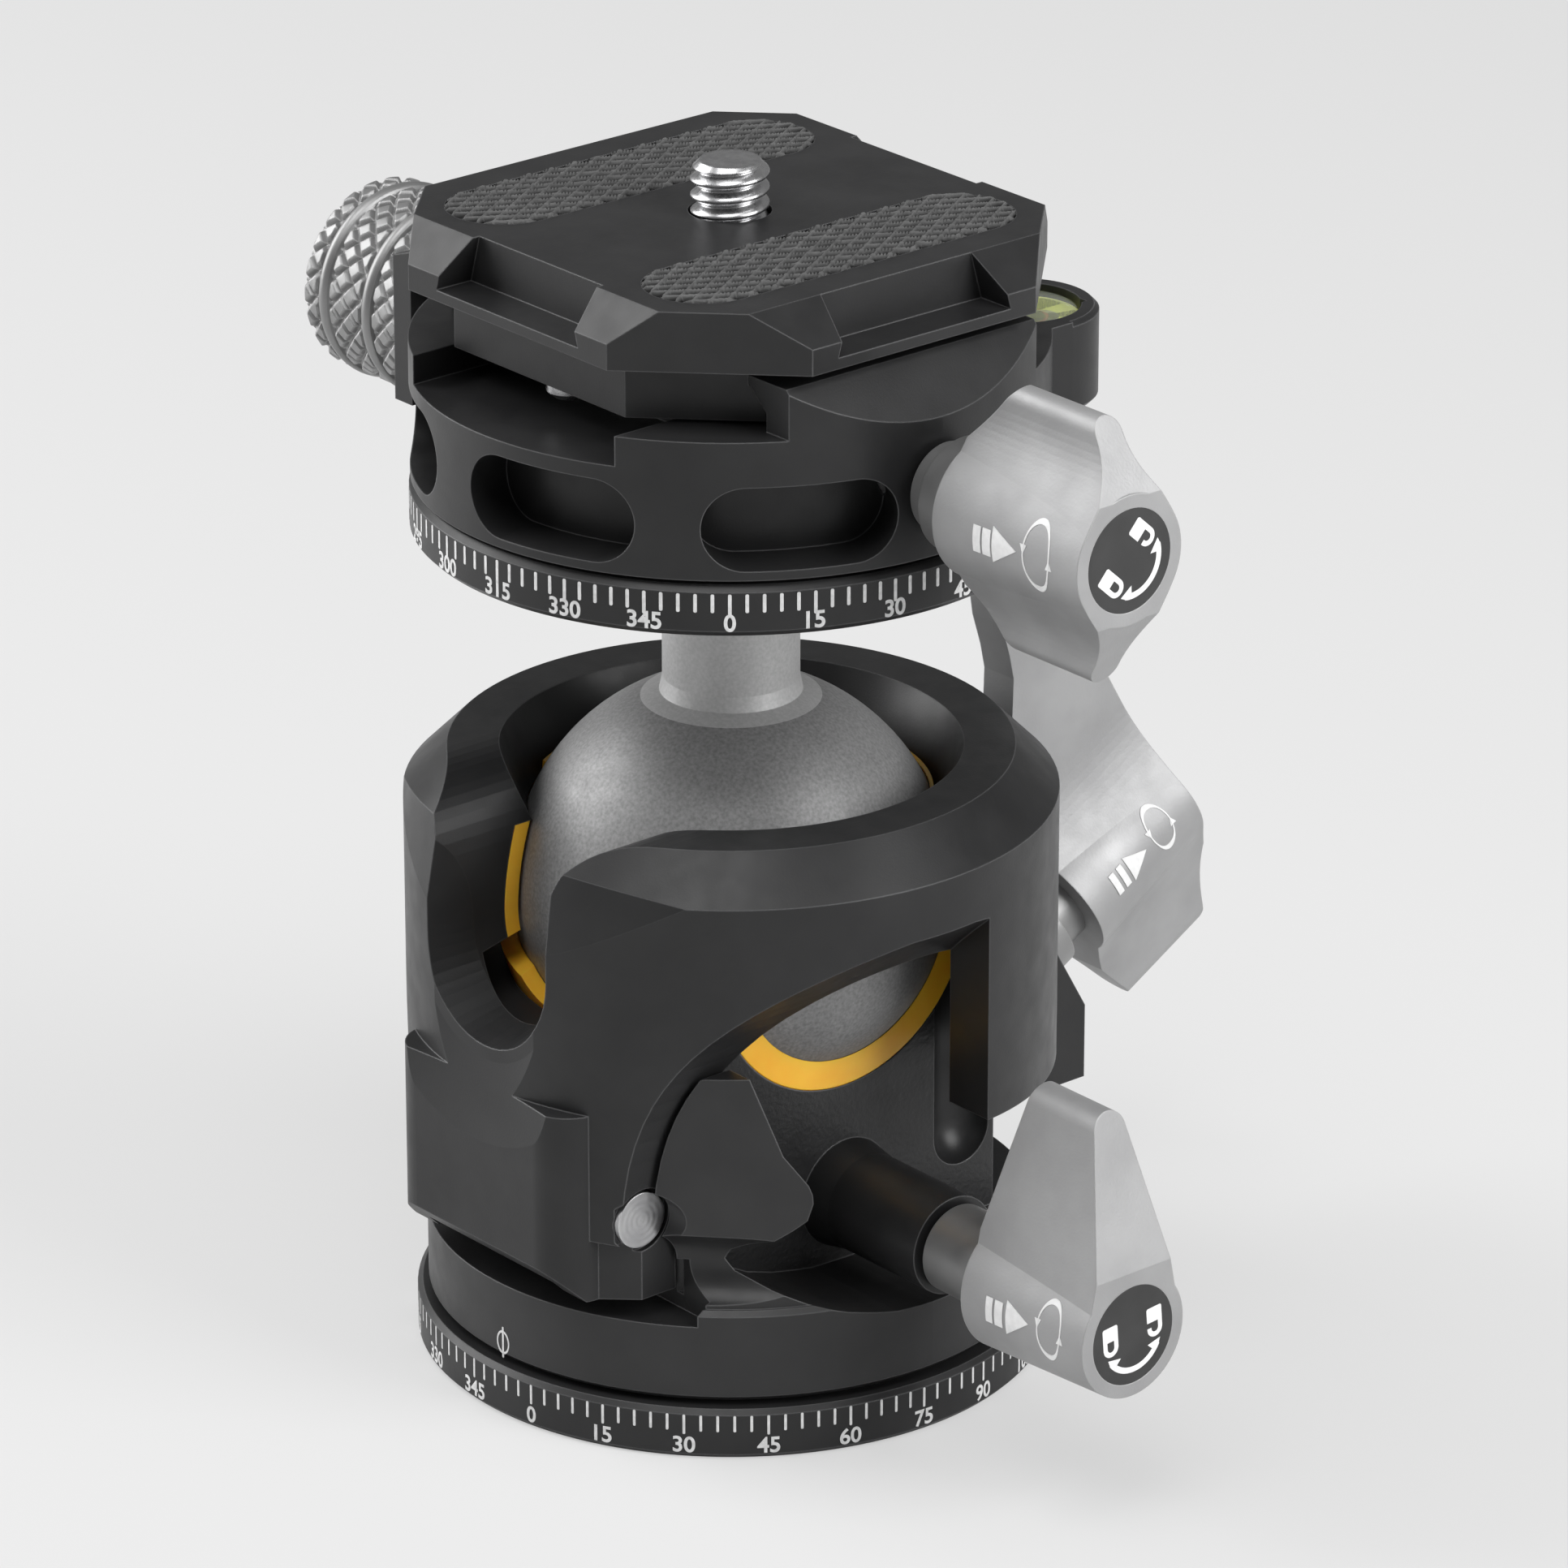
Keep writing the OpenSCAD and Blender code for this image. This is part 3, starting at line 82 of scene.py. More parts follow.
class Paint:
    """A node material that is worked out in the object's own coordinates."""

    def __init__(self, name):
        self.material = bpy.data.materials.new(name)
        self.material.use_nodes = True
        self.tree = self.material.node_tree
        self.surface = self.tree.nodes["Principled BSDF"]
        self.place = self.add("ShaderNodeTexCoord").outputs["Object"]
        self.normal = None

    def add(self, kind, **settings):
        node = self.tree.nodes.new(kind)
        for key, value in settings.items():
            setattr(node, key, value)
        return node

    def set(self, **values):
        for key, value in values.items():
            self.surface.inputs[key.replace("_", " ")].default_value = value

    def join(self, source, target):
        self.tree.links.new(source, target)

    def noise(self, size, detail=2.0):
        node = self.add("ShaderNodeTexNoise")
        node.inputs["Scale"].default_value = 1 / (size * MM)
        node.inputs["Detail"].default_value = detail
        self.join(self.place, node.inputs["Vector"])
        return node.outputs["Fac"]

    def math(self, operation, a, b=None):
        node = self.add("ShaderNodeMath", operation=operation)
        for socket, value in zip(node.inputs, (a, b)):
            if value is None:
                continue
            if isinstance(value, (int, float)):
                socket.default_value = value
            else:
                self.join(value, socket)
        return node.outputs[0]

    def reach(self, a, b):
        """How far a point lies from the origin of two coordinates."""
        return self.math("SQRT", self.math("ADD", self.math("MULTIPLY", a, a),
                                           self.math("MULTIPLY", b, b)))

    def ramp(self, value, low, high, to_low=0.0, to_high=1.0):
        node = self.add("ShaderNodeMapRange")
        for socket, number in zip(list(node.inputs)[1:5], (low, high, to_low, to_high)):
            socket.default_value = number
        self.join(value, node.inputs[0])
        return node.outputs[0]

    def axes(self):
        node = self.add("ShaderNodeSeparateXYZ")
        self.join(self.place, node.inputs[0])
        return node.outputs

    def blend(self, share, a, b):
        node = self.add("ShaderNodeMix", data_type="RGBA")
        self.join(share, node.inputs[0])
        for socket, value in ((node.inputs[6], a), (node.inputs[7], b)):
            if isinstance(value, tuple):
                socket.default_value = (*value, 1)
            else:
                self.join(value, socket)
        return node.outputs[2]

    def clouds(self, size, dark, light, low=0.35, high=0.65):
        """A colour that drifts from dark to light in patches of a size."""
        return self.blend(self.ramp(self.noise(size, 3), low, high), dark, light)

    def colour(self, source):
        self.join(source, self.surface.inputs["Base Color"])

    def roughness(self, size, detail, low, high):
        """Roughness that varies between two values in patches of a size."""
        share = self.ramp(self.noise(size, detail), 0.3, 0.7, low, high)
        self.join(share, self.surface.inputs["Roughness"])

    def round_edges(self, radius):
        """Softens the edges' shading, and gives back how near an edge a point is."""
        soft = self.add("ShaderNodeBevel", samples=4)
        soft.inputs["Radius"].default_value = radius * MM
        plain = self.add("ShaderNodeNewGeometry").outputs["Normal"]
        dot = self.add("ShaderNodeVectorMath", operation="DOT_PRODUCT")
        self.join(soft.outputs[0], dot.inputs[0])
        self.join(plain, dot.inputs[1])
        self.normal = soft.outputs[0]
        return self.ramp(dot.outputs["Value"], 0.995, 0.9)

    def bump(self, height, strength, distance):
        node = self.add("ShaderNodeBump")
        node.inputs["Strength"].default_value = strength
        node.inputs["Distance"].default_value = distance * MM
        self.join(height, node.inputs["Height"])
        if self.normal is not None:
            self.join(self.normal, node.inputs["Normal"])
        self.normal = node.outputs[0]

    def done(self):
        if self.normal is not None:
            self.join(self.normal, self.surface.inputs["Normal"])
        return self.material


def grey(value):
    return value, value, value


def anodised(name, dark, light, edge, rough, metal, grain, grain_size, texture=None, shine=0.5):
    """Bead-blasted, anodised aluminium: fine grain, faint clouds and a painted highlight along
    machined edges.
    """
    highlight_share = 0.75
    paint = Paint(name)
    edge_highlight_mask = paint.round_edges(0.16)
    colour = paint.clouds(7, dark, light)
    # The edge colour is blended in near edges as a painted highlight along them.
    paint.colour(paint.blend(paint.math("MULTIPLY", edge_highlight_mask, highlight_share), colour, edge))
    paint.roughness(2.4, 3, rough - 0.04, rough + 0.05)
    paint.set(Metallic=metal, Specular_IOR_Level=shine)
    fine = paint.noise(grain_size, 2)
    paint.bump(texture(paint, fine) if texture else fine, grain, 0.03)
    return paint.done()


# what the fine grain keeps where a coarser texture is added to it
FINE_SHARE = 0.35


def sand_in_recess(paint, fine):
    """Coarser sand on the housing's flat side faces, above its band."""
    face_reach, sand_height = 0.1, 3.2
    x, y, z = paint.axes()
    off_face = paint.math("SUBTRACT", paint.math("ABSOLUTE", x), SIDE_FACE * MM)
    on_face = paint.math("LESS_THAN", paint.math("ABSOLUTE", off_face), face_reach * MM)
    on_face = paint.math("MULTIPLY", on_face, paint.math("GREATER_THAN", z, BAND_TOP * MM))
    sand = paint.math("MULTIPLY", paint.noise(0.42, 2), sand_height)
    return paint.math("ADD", paint.math("MULTIPLY", fine, FINE_SHARE),
                      paint.math("MULTIPLY", on_face, sand))


def thread_in_socket(paint, fine):
    """The tripod socket's thread, as a screw line round the bore."""
    tooth_height = 30
    x, y, z = paint.axes()
    inside = paint.math("MULTIPLY", paint.math("LESS_THAN", paint.reach(x, y), SOCKET_R * MM),
                        paint.math("LESS_THAN", z, SOCKET_TOP * MM))
    turn = paint.math("DIVIDE", paint.math("ARCTAN2", y, x), 2 * math.pi)
    rise = paint.math("DIVIDE", z, SOCKET_PITCH * MM)
    step = paint.math("FRACT", paint.math("ADD", rise, turn))
    tooth = paint.math("ABSOLUTE", paint.math("SUBTRACT", step, 0.5))
    return paint.math("ADD", paint.math("MULTIPLY", fine, FINE_SHARE),
                      paint.math("MULTIPLY", inside, paint.math("MULTIPLY", tooth, tooth_height)))


# edge is the colour of the painted highlight along machined edges.
BLACK = {"dark": (0.014, 0.014, 0.0145), "light": (0.019, 0.019, 0.0195),
         "edge": (0.16, 0.16, 0.163), "rough": 0.40, "metal": 0.0, "grain_size": 0.16}
black = anodised("black_anodised", grain=0.22, shine=0.33, **BLACK)
black_housing = anodised("black_anodised_sanded", grain=0.5, texture=sand_in_recess, shine=0.42,
                         **BLACK)
black_base = anodised("black_anodised_threaded", grain=0.5, texture=thread_in_socket, shine=0.33,
                      **BLACK)
# Their edge colours are also painted highlights along machined edges.
silver = anodised("silver_anodised", dark=(0.32, 0.32, 0.323), light=(0.37, 0.37, 0.373),
                  edge=grey(0.54), rough=0.52, metal=0.5, grain=0.45, grain_size=0.24)
knob_silver = anodised("knob_silver", dark=grey(0.24), light=grey(0.30), edge=grey(0.50),
                       rough=0.42, metal=0.7, grain=0.12, grain_size=0.12)


def steel_paint(name, rough, ring_place=None, ring_pitch=None):
    """Bright steel with a painted highlight along its edges, and turned rings round a place (y, z)
    where one is given.
    """
    highlight_share, grain_share, ring_share = 0.6, 0.15, 0.6
    paint = Paint(name)
    edge_highlight_mask = paint.round_edges(0.1)
    colour = paint.clouds(1.6, (0.50, 0.50, 0.51), (0.60, 0.60, 0.605))
    # Near edges the colour is blended towards pale grey, a painted highlight.
    paint.colour(paint.blend(paint.math("MULTIPLY", edge_highlight_mask, highlight_share), colour, grey(0.78)))
    paint.set(Metallic=1.0)
    paint.roughness(0.5, 2, rough - 0.05, rough + 0.06)
    height = paint.noise(0.12, 2)
    if ring_place:
        x, y, z = paint.axes()
        radius = paint.reach(paint.math("SUBTRACT", y, ring_place[0] * MM),
                             paint.math("SUBTRACT", z, ring_place[1] * MM))
        turns = paint.math("MULTIPLY", radius, 2 * math.pi / (ring_pitch * MM))
        height = paint.math("ADD", paint.math("MULTIPLY", height, grain_share),
                            paint.math("MULTIPLY", paint.math("SINE", turns), ring_share))
    paint.bump(height, 0.25, 0.02)
    return paint.done()


steel = steel_paint("steel", 0.28)
steel_turned = steel_paint("steel_turned", 0.4, (PIN_Y, PIN_Z), 0.5)


def ball_paint():
    """Dark satin ball below a paler stem."""
    speckle_size = 0.28
    paint = Paint("ball_and_stem")
    paint.round_edges(0.12)
    x, y, z = paint.axes()
    is_stem = paint.math("GREATER_THAN", z, STEM_FOOT * MM)
    ball = paint.clouds(speckle_size, (0.19, 0.19, 0.191), grey(0.30), 0.3, 0.75)
    stem = paint.clouds(speckle_size, grey(0.40), grey(0.48), 0.3, 0.7)
    paint.colour(paint.blend(is_stem, ball, stem))
    paint.roughness(1.8, 3, 0.46, 0.56)
    paint.set(Metallic=0.35)
    paint.bump(paint.noise(0.22, 2), 0.28, 0.03)
    return paint.done()


def plastic(name, dark, light, rough, size, bump=0.1, **more):
    """Moulded plastic, liquid or print: clouded colour and a faint texture."""
    paint = Paint(name)
    paint.round_edges(0.08)
    paint.colour(paint.clouds(size, dark, light))
    paint.roughness(size * 0.6, 2, rough - 0.04, rough + 0.05)
    paint.set(**more)
    paint.bump(paint.noise(0.14, 2), bump, 0.02)
    return paint.done()


def pad_paint():
    """Rubber whose raised net is painted paler than its dimples: painted light on the ridge tops and
    painted shade down in the dimples.
    """
    net_low, net_high = 94.6, 95.0
    paint = Paint("pad_rubber")
    x, y, z = paint.axes()
    ridge_light_and_tone = paint.clouds(1.2, grey(0.085), grey(0.120))
    # The dimples are painted near-black as painted shade, and the ridge tops paler as painted light.
    paint.colour(paint.blend(paint.ramp(z, net_low * MM, net_high * MM), grey(0.004), ridge_light_and_tone))
    paint.roughness(0.7, 2, 0.42, 0.52)
    paint.set(Specular_IOR_Level=0.25)
    paint.bump(paint.noise(0.14, 2), 0.15, 0.02)
    return paint.done()


ball_material = ball_paint()
orange = plastic("orange_liner", (0.96, 0.44, 0.025), (1.0, 0.52, 0.04), 0.36, 5, 0.06,
                 Subsurface_Weight=0.3, Subsurface_Scale=0.002)
washer_black = plastic("washer_polymer", grey(0.02), grey(0.03), 0.5, 4)
shoe_white = plastic("lock_shoe_plastic", (0.62, 0.60, 0.54), (0.70, 0.68, 0.62), 0.42, 2)
disc_black = plastic("lever_disc_black", grey(0.022), grey(0.03), 0.32, 3, 0.05)
rubber = pad_paint()
paint_white = plastic("scale_paint", grey(0.60), grey(0.74), 0.5, 0.5, 0.15)
mark_white = plastic("mark_paint", grey(0.78), grey(0.86), 0.5, 0.6)
mark_pale = plastic("pale_mark_paint", grey(0.72), grey(0.80), 0.5, 0.6)
ring_red = plastic("level_ring_paint", (0.80, 0.10, 0.03), (0.90, 0.16, 0.05), 0.4, 1)
liquid = plastic("level_liquid", (0.70, 0.80, 0.16), (0.80, 0.86, 0.26), 0.2, 3, 0.0)
bubble = plastic("level_bubble", (0.80, 0.86, 0.35), (0.86, 0.90, 0.5), 0.1, 1, 0.0,
                 Transmission_Weight=0.4)
glass = plastic("level_glass", (0.80, 0.84, 0.78), (0.86, 0.90, 0.84), 0.08, 2, 0.0, Alpha=0.16)

LEVERS = ["ball_lock_lever", "pan_lock_lever", "top_lock_lever"]
LOOKS = {
    black: ["ball_cap", "scale_disc", "clamp_body", "moving_jaw", "plate"],
    black_housing: ["lower_housing"],
    black_base: ["pan_base"],
    silver: LEVERS,
    knob_silver: ["clamp_knob", "pan_lock_spindle", "ball_lock_spindle", "top_lock_spindle"],
    steel: ["pan_clip", "ball_lock_spring", "ball_lock_screw", "pan_lock_spring",
            "pan_lock_screw", "stem_bolt", "top_clip", "jaw_pins", "jaw_springs", "knob_screw",
            "top_lock_spring", "top_lock_screw", "camera_screw", "screw_ring", "stop_screws"],
    steel_turned: ["hinge_pin"],
    ball_material: ["ball_stem"],
    orange: ["lower_liner", "upper_liner"],
    washer_black: ["pan_washer", "top_washer"],
    shoe_white: ["pan_lock_shoe", "top_lock_shoe"],
    disc_black: ["ball_lock_disc", "pan_lock_disc", "top_lock_disc"],
    rubber: ["grip_pads"],
    liquid: ["level_vial"],
    bubble: ["level_bubble"],
    glass: ["level_lens"],
}
for look, names in LOOKS.items():
    for name in names:
        nodes[name].data.materials.clear()
        nodes[name].data.materials.append(look)

for name in LEVERS:
    rounding = nodes[name].modifiers.new("rounded_edges", "BEVEL")
    rounding.width, rounding.segments = 0.7 * MM, 3
    rounding.limit_method, rounding.angle_limit = "ANGLE", math.radians(32)
    rounding.harden_normals = False


# ---------- pieces ----------


def piece(name, points, faces, look, body, smooth=True):
    """A mesh from points in millimetres, riding on a body."""
    mesh = bpy.data.meshes.new(name)
    mesh.from_pydata([tuple(c * MM for c in p) for p in points], [], faces)
    mesh.update()
    work = bmesh.new()
    work.from_mesh(mesh)
    bmesh.ops.recalc_face_normals(work, faces=work.faces)
    work.to_mesh(mesh)
    work.free()
    for face in mesh.polygons:
        face.use_smooth = smooth
    mesh.materials.append(look)
    made = bpy.data.objects.new(name, mesh)
    bpy.context.scene.collection.objects.link(made)
    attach(made, body)
    return made


def lathe(rows, place):
    """Points and faces of a closed turned form.

    Each row is (height, radii round the turn), and place(radius, turn, height) sets a point.
    """
    points, faces = [], []
    count = len(rows[0][1])
    for height, radii in rows:
        for i, radius in enumerate(radii):
            points.append(place(radius, 2 * math.pi * i / count, height))
    for j in range(len(rows) - 1):
        low, high = j * count, (j + 1) * count
        for i in range(count):
            k = (i + 1) % count
            faces.append((low + i, low + k, high + k, high + i))
    for row, height in ((0, rows[0][0]), (len(rows) - 1, rows[-1][0])):
        points.append(place(0, 0, height))
        middle = len(points) - 1
        for i in range(count):
            faces.append((middle, row * count + i, row * count + (i + 1) % count))
    return points, faces


def strip(count, closed=False):
    """Cells of a strip of point pairs: open with count cells, or closed into a ring."""
    last = 2 * count if closed else 2 * count + 2
    return [(2 * i, 2 * i + 1, (2 * i + 3) % last, (2 * i + 2) % last) for i in range(count)]


class Ink:
    """Thin raised marks, drawn flat and laid on a surface by place(u, v, lift)."""

    def __init__(self, place, low=-0.03, high=0.02):
        self.place, self.low, self.high = place, low, high
        self.points, self.faces = [], []

    def shape(self, outline, cells):
        """Adds a flat mesh of points and cells of their indices, as a thin closed solid."""
        start, count = len(self.points), len(outline)
        for lift in (self.high, self.low):
            self.points += [self.place(u, v, lift) for u, v in outline]
        sides = {}
        for cell in cells:
            self.faces.append(tuple(start + i for i in cell))
            self.faces.append(tuple(start + count + i for i in reversed(cell)))
            for a, b in zip(cell, cell[1:] + cell[:1]):
                if (b, a) in sides:
                    del sides[(b, a)]
                else:
                    sides[(a, b)] = True
        for a, b in sides:
            self.faces.append((start + b, start + a, start + count + a, start + count + b))

    def polygon(self, outline):
        self.shape(outline, [tuple(range(len(outline)))])

    def bar(self, u, v, width, height, steps):
        """An upright bar with blunt ends, whose foot is at (u, v)."""
        cut, end_share = width / 2 * 0.6, 0.55
        rows = [(v, end_share), (v + cut, 1)]
        rows += [(v + height * i / steps, 1) for i in range(1, steps)]
        rows += [(v + height - cut, 1), (v + height, end_share)]
        outline = [(u + side * width / 2 * share, at) for at, share in rows for side in (-1, 1)]
        self.shape(outline, strip(len(rows) - 1))

    def band(self, points, width):
        """A line of one width through the points, open at its ends."""
        outline = []
        half = width / 2
        for i, (u, v) in enumerate(points):
            a, b = points[max(i - 1, 0)], points[min(i + 1, len(points) - 1)]
            run = math.hypot(b[0] - a[0], b[1] - a[1])
            nu, nv = -(b[1] - a[1]) / run, (b[0] - a[0]) / run
            outline += [(u + nu * half, v + nv * half), (u - nu * half, v - nv * half)]
        self.shape(outline, strip(len(points) - 1))

    def ring(self, u, v, radius, width, count=48, stretch=1.0):
        outline = []
        for i in range(count):
            turn = 2 * math.pi * i / count
            for r in (radius - width / 2, radius + width / 2):
                outline.append((u + r * math.cos(turn) * stretch, v + r * math.sin(turn)))
        self.shape(outline, strip(count, closed=True))

    def glyph(self, text, u, v, height, bold):
        """Digits, centred at u with their foot at v."""
        curve = bpy.data.curves.new("digits", "FONT")
        curve.body, curve.align_x, curve.offset = text, "CENTER", bold
        holder = bpy.data.objects.new("digits", curve)
        bpy.context.scene.collection.objects.link(holder)
        graph = bpy.context.evaluated_depsgraph_get()
        mesh = bpy.data.meshes.new_from_object(holder.evaluated_get(graph))
        spots = [(p.co.x, p.co.y) for p in mesh.vertices]
        low = min(p[1] for p in spots)
        scale = height / (max(p[1] for p in spots) - low)
        middle = (min(p[0] for p in spots) + max(p[0] for p in spots)) / 2
        outline = [(u + (x - middle) * scale, v + (y - low) * scale) for x, y in spots]
        self.shape(outline, [tuple(face.vertices) for face in mesh.polygons])
        bpy.data.objects.remove(holder)
        bpy.data.curves.remove(curve)
        bpy.data.meshes.remove(mesh)

    def make(self, name, look, body):
        return piece(name, self.points, self.faces, look, body, smooth=False)


def on_cylinder(radius, azimuth, z):
    """u runs round the pan axis from an azimuth in degrees, and v runs up from z."""
    def place(u, v, lift):
        turn = math.radians(azimuth) + u / radius
        return ((radius + lift) * math.cos(turn), (radius + lift) * math.sin(turn), z + v)
    return place


def axis_frame(origin, out, up):
    """Places points given along an axis and round it; side is square to both."""
    out, up = Vector(out), Vector(up)
    side = up.cross(out)
    origin = Vector(origin)

    def at(s, u, a):
        return tuple(origin + side * s + up * u + out * a)
    return at


def on_barrel(at, length):
    """u runs along a lever's axis from its back, and v runs up round its tapered barrel."""
    def place(u, v, lift):
        radius = BARREL_BACK_R + (BARREL_FRONT_R - BARREL_BACK_R) * u / length
        angle = math.pi - v / radius
        return at((radius + lift) * math.cos(angle), (radius + lift) * math.sin(angle), u)
    return place


# ---------- scales and signs ----------


def scale_marks(name, body, radius, zero, top, tick, long_tick, width, foot, digit_h, bold):
    """Ticks every 3 degrees, long ones and numbers every 15; zero is the 0's azimuth."""
    step, per_number = 3, 5
    ticks = Ink(on_cylinder(radius, zero, 0))
    for i in range(360 // step):
        u = math.radians(step * i) * radius
        size = long_tick if i % per_number == 0 else tick
        ticks.bar(u, top - size, width, size, 3)
    ticks.make(name + "_ticks", paint_white, body)
    digits = Ink(on_cylinder(radius, zero, 0))
    for number in range(0, 360, step * per_number):
        digits.glyph(str(number), math.radians(number) * radius, foot, digit_h, bold)
    digits.make(name + "_numbers", paint_white, body)


scale_marks("base_scale", "base", BASE_R, zero=-78.5, top=BASE_TOP - 0.42, tick=1.4,
            long_tick=1.68, width=0.22, foot=0.5, digit_h=1.4, bold=0.02)
scale_marks("disc_scale", "ball", DISC_R, zero=-40.0, top=DISC_TOP - 0.62, tick=1.5,
            long_tick=1.85, width=0.28, foot=DISC_LOW + 0.5, digit_h=1.42, bold=0.024)

index = Ink(on_cylinder(BAND_R, -87.5, 5.9))
index.ring(0, 0, 0.92, 0.2, 40, 0.72)
index.bar(0, -1.35, 0.2, 2.7, 8)
index.make("index_mark", paint_white, "housing")


def arc_spot(u, v, radius, degrees):
    turn = math.radians(degrees)
    return u + radius * math.cos(turn), v + radius * math.sin(turn)


def arc(u, v, radius, start, stop, count):
    return [arc_spot(u, v, radius, start + (stop - start) * i / count) for i in range(count + 1)]


def grip_marks(name, body, at, length, bars, middle, head, head_half, tip_v, circle, circle_r,
               look):
    """Pull and turn signs along a lever's barrel: two bars, an arrow head and a turning circle.

    bars and head give where each starts and ends along the barrel, and middle their height;
    circle gives the turning circle's centre, and circle_r its half width and half height.
    """
    bar_half, bar_steps = 1.07, 8
    tip_half, cells = 0.002, 8
    thin, swell, count = 0.17, 0.36, 60
    arrow_half, arrow_lift = 0.34, 0.004
    ink = Ink(on_barrel(at, length))
    for first, last in bars:
        ink.band([((first + last) / 2, middle - bar_half + 2 * bar_half * i / bar_steps)
                  for i in range(bar_steps + 1)], last - first)
    first, last = head
    outline = []
    for i in range(cells + 1):
        share = i / cells
        reach = head_half * (1 - share) + tip_half
        for j in range(cells + 1):
            outline.append((first + (last - first) * share,
                            middle * (1 - share) + tip_v * share + reach * (2 * j / cells - 1)))
    corners = [i * (cells + 1) + j for i in range(cells) for j in range(cells)]
    ink.shape(outline, [(k, k + 1, k + cells + 2, k + cells + 1) for k in corners])
    u, v = circle
    wide, high = circle_r
    outline = []
    for i in range(count):
        turn = 2 * math.pi * i / count
        width = thin + swell * abs(math.sin(turn)) ** 5
        for side in (-0.5, 0.5):
            outline.append((u + (wide + side * width * 0.8) * math.cos(turn),
                            v + (high + side * width) * math.sin(turn)))
    ink.shape(outline, strip(count, closed=True))
    ink.high += arrow_lift
    for sign, at_v in ((-1, v + 0.24), (1, v - 0.4)):
        at_u = u + sign * wide
        ink.polygon([(at_u - arrow_half, at_v - sign * 0.35),
                     (at_u + arrow_half, at_v - sign * 0.35), (at_u, at_v + sign * 0.42)])
    ink.make(name, look, body)


def disc_marks(name, body, at, height, turn):
    """Two padlocks, shut and open, and an arrow that turns between them, on an end disc."""
    cos_t, sin_t = math.cos(math.radians(turn)), math.sin(math.radians(turn))

    def place(u, v, lift):
        return at(u * cos_t - v * sin_t, u * sin_t + v * cos_t, height + lift)

    ink = Ink(place, -0.03, 0.003)
    lock_x, top, foot, half, nip = 2.27, 1.55, 0.28, 0.77, 0.12
    leg, leg_foot, leg_width = half - 0.215, -0.27, 0.43
    for middle, is_shut in ((-lock_x, True), (lock_x, False)):
        ink.polygon([(middle + x, y) for x, y in (
            (-half + nip, top), (-half, top - nip), (-half, foot), (half, foot),
            (half, top - nip), (half - nip, top))])
        loop = [(middle + leg, foot), (middle + leg, leg_foot)]
        loop += arc(middle, leg_foot, leg, 0, -180, 16)[1:]
        loop += [(middle - leg, foot)] if is_shut else [(middle - leg, leg_foot + 0.1)]
        ink.band(loop, leg_width)
    middle, radius, start, stop = (0.05, -0.14), 2.81, 212, 328
    ink.band(arc(*middle, radius, start, stop, 28), 0.5)
    ink.high += 0.003
    for end, sign in ((start, 1), (stop, -1)):
        ink.polygon([arc_spot(*middle, radius + out, end + sign * ahead)
                     for ahead, out in ((-9, 0.12), (4, 0.25), (13, 0.25), (13, -0.85))])
    ink.make(name, mark_white, body)


pan_at = axis_frame((34.5, 0, 16.3), (1, 0, 0), (0, 0, 1))
top_at = axis_frame((30.5, 0, 79.3), (1, 0, 0), (0, 0, 1))
LOCK_LEAN = math.radians(30)
LOCK_OUT = (0, math.cos(LOCK_LEAN), math.sin(LOCK_LEAN))
LOCK_UP = (0, -math.sin(LOCK_LEAN), math.cos(LOCK_LEAN))
BLOCK_TO_LEVER = 9.4
ball_at = axis_frame(tuple(a + b * BLOCK_TO_LEVER for a, b in zip((0, 26, 22.9), LOCK_OUT)),
                     LOCK_OUT, LOCK_UP)
grip_marks("pan_lever_marks", "pan_lock_lever", pan_at, LOWER_BARREL,
           bars=((2.8, 3.54), (3.77, 4.64)), middle=0.1, head=(5.0, 7.47), head_half=1.45,
           tip_v=0.37, circle=(9.65, 0.62), circle_r=(1.23, 2.35), look=mark_white)
grip_marks("top_lever_marks", "top_lock_lever", top_at, TOP_BARREL,
           bars=((4.46, 5.27), (5.46, 6.34)), middle=0.0, head=(6.5, 9.08), head_half=1.45,
           tip_v=0.14, circle=(11.15, 0.34), circle_r=(1.37, 2.75), look=mark_white)
grip_marks("ball_lever_marks", "ball_lock_lever", ball_at, LOWER_BARREL,
           bars=((2.91, 3.53), (3.89, 4.5)), middle=0.97, head=(4.9, 7.21), head_half=1.27,
           tip_v=1.09, circle=(9.4, 1.52), circle_r=(1.2, 2.1), look=mark_pale)
disc_marks("pan_lever_signs", "pan_lock_lever", pan_at, LOWER_BARREL, 5)
disc_marks("top_lever_signs", "top_lock_lever", top_at, TOP_BARREL, 48)
disc_marks("ball_lever_signs", "ball_lock_lever", ball_at, LOWER_BARREL, 0)


# ---------- textured pieces in place of CAD ones ----------


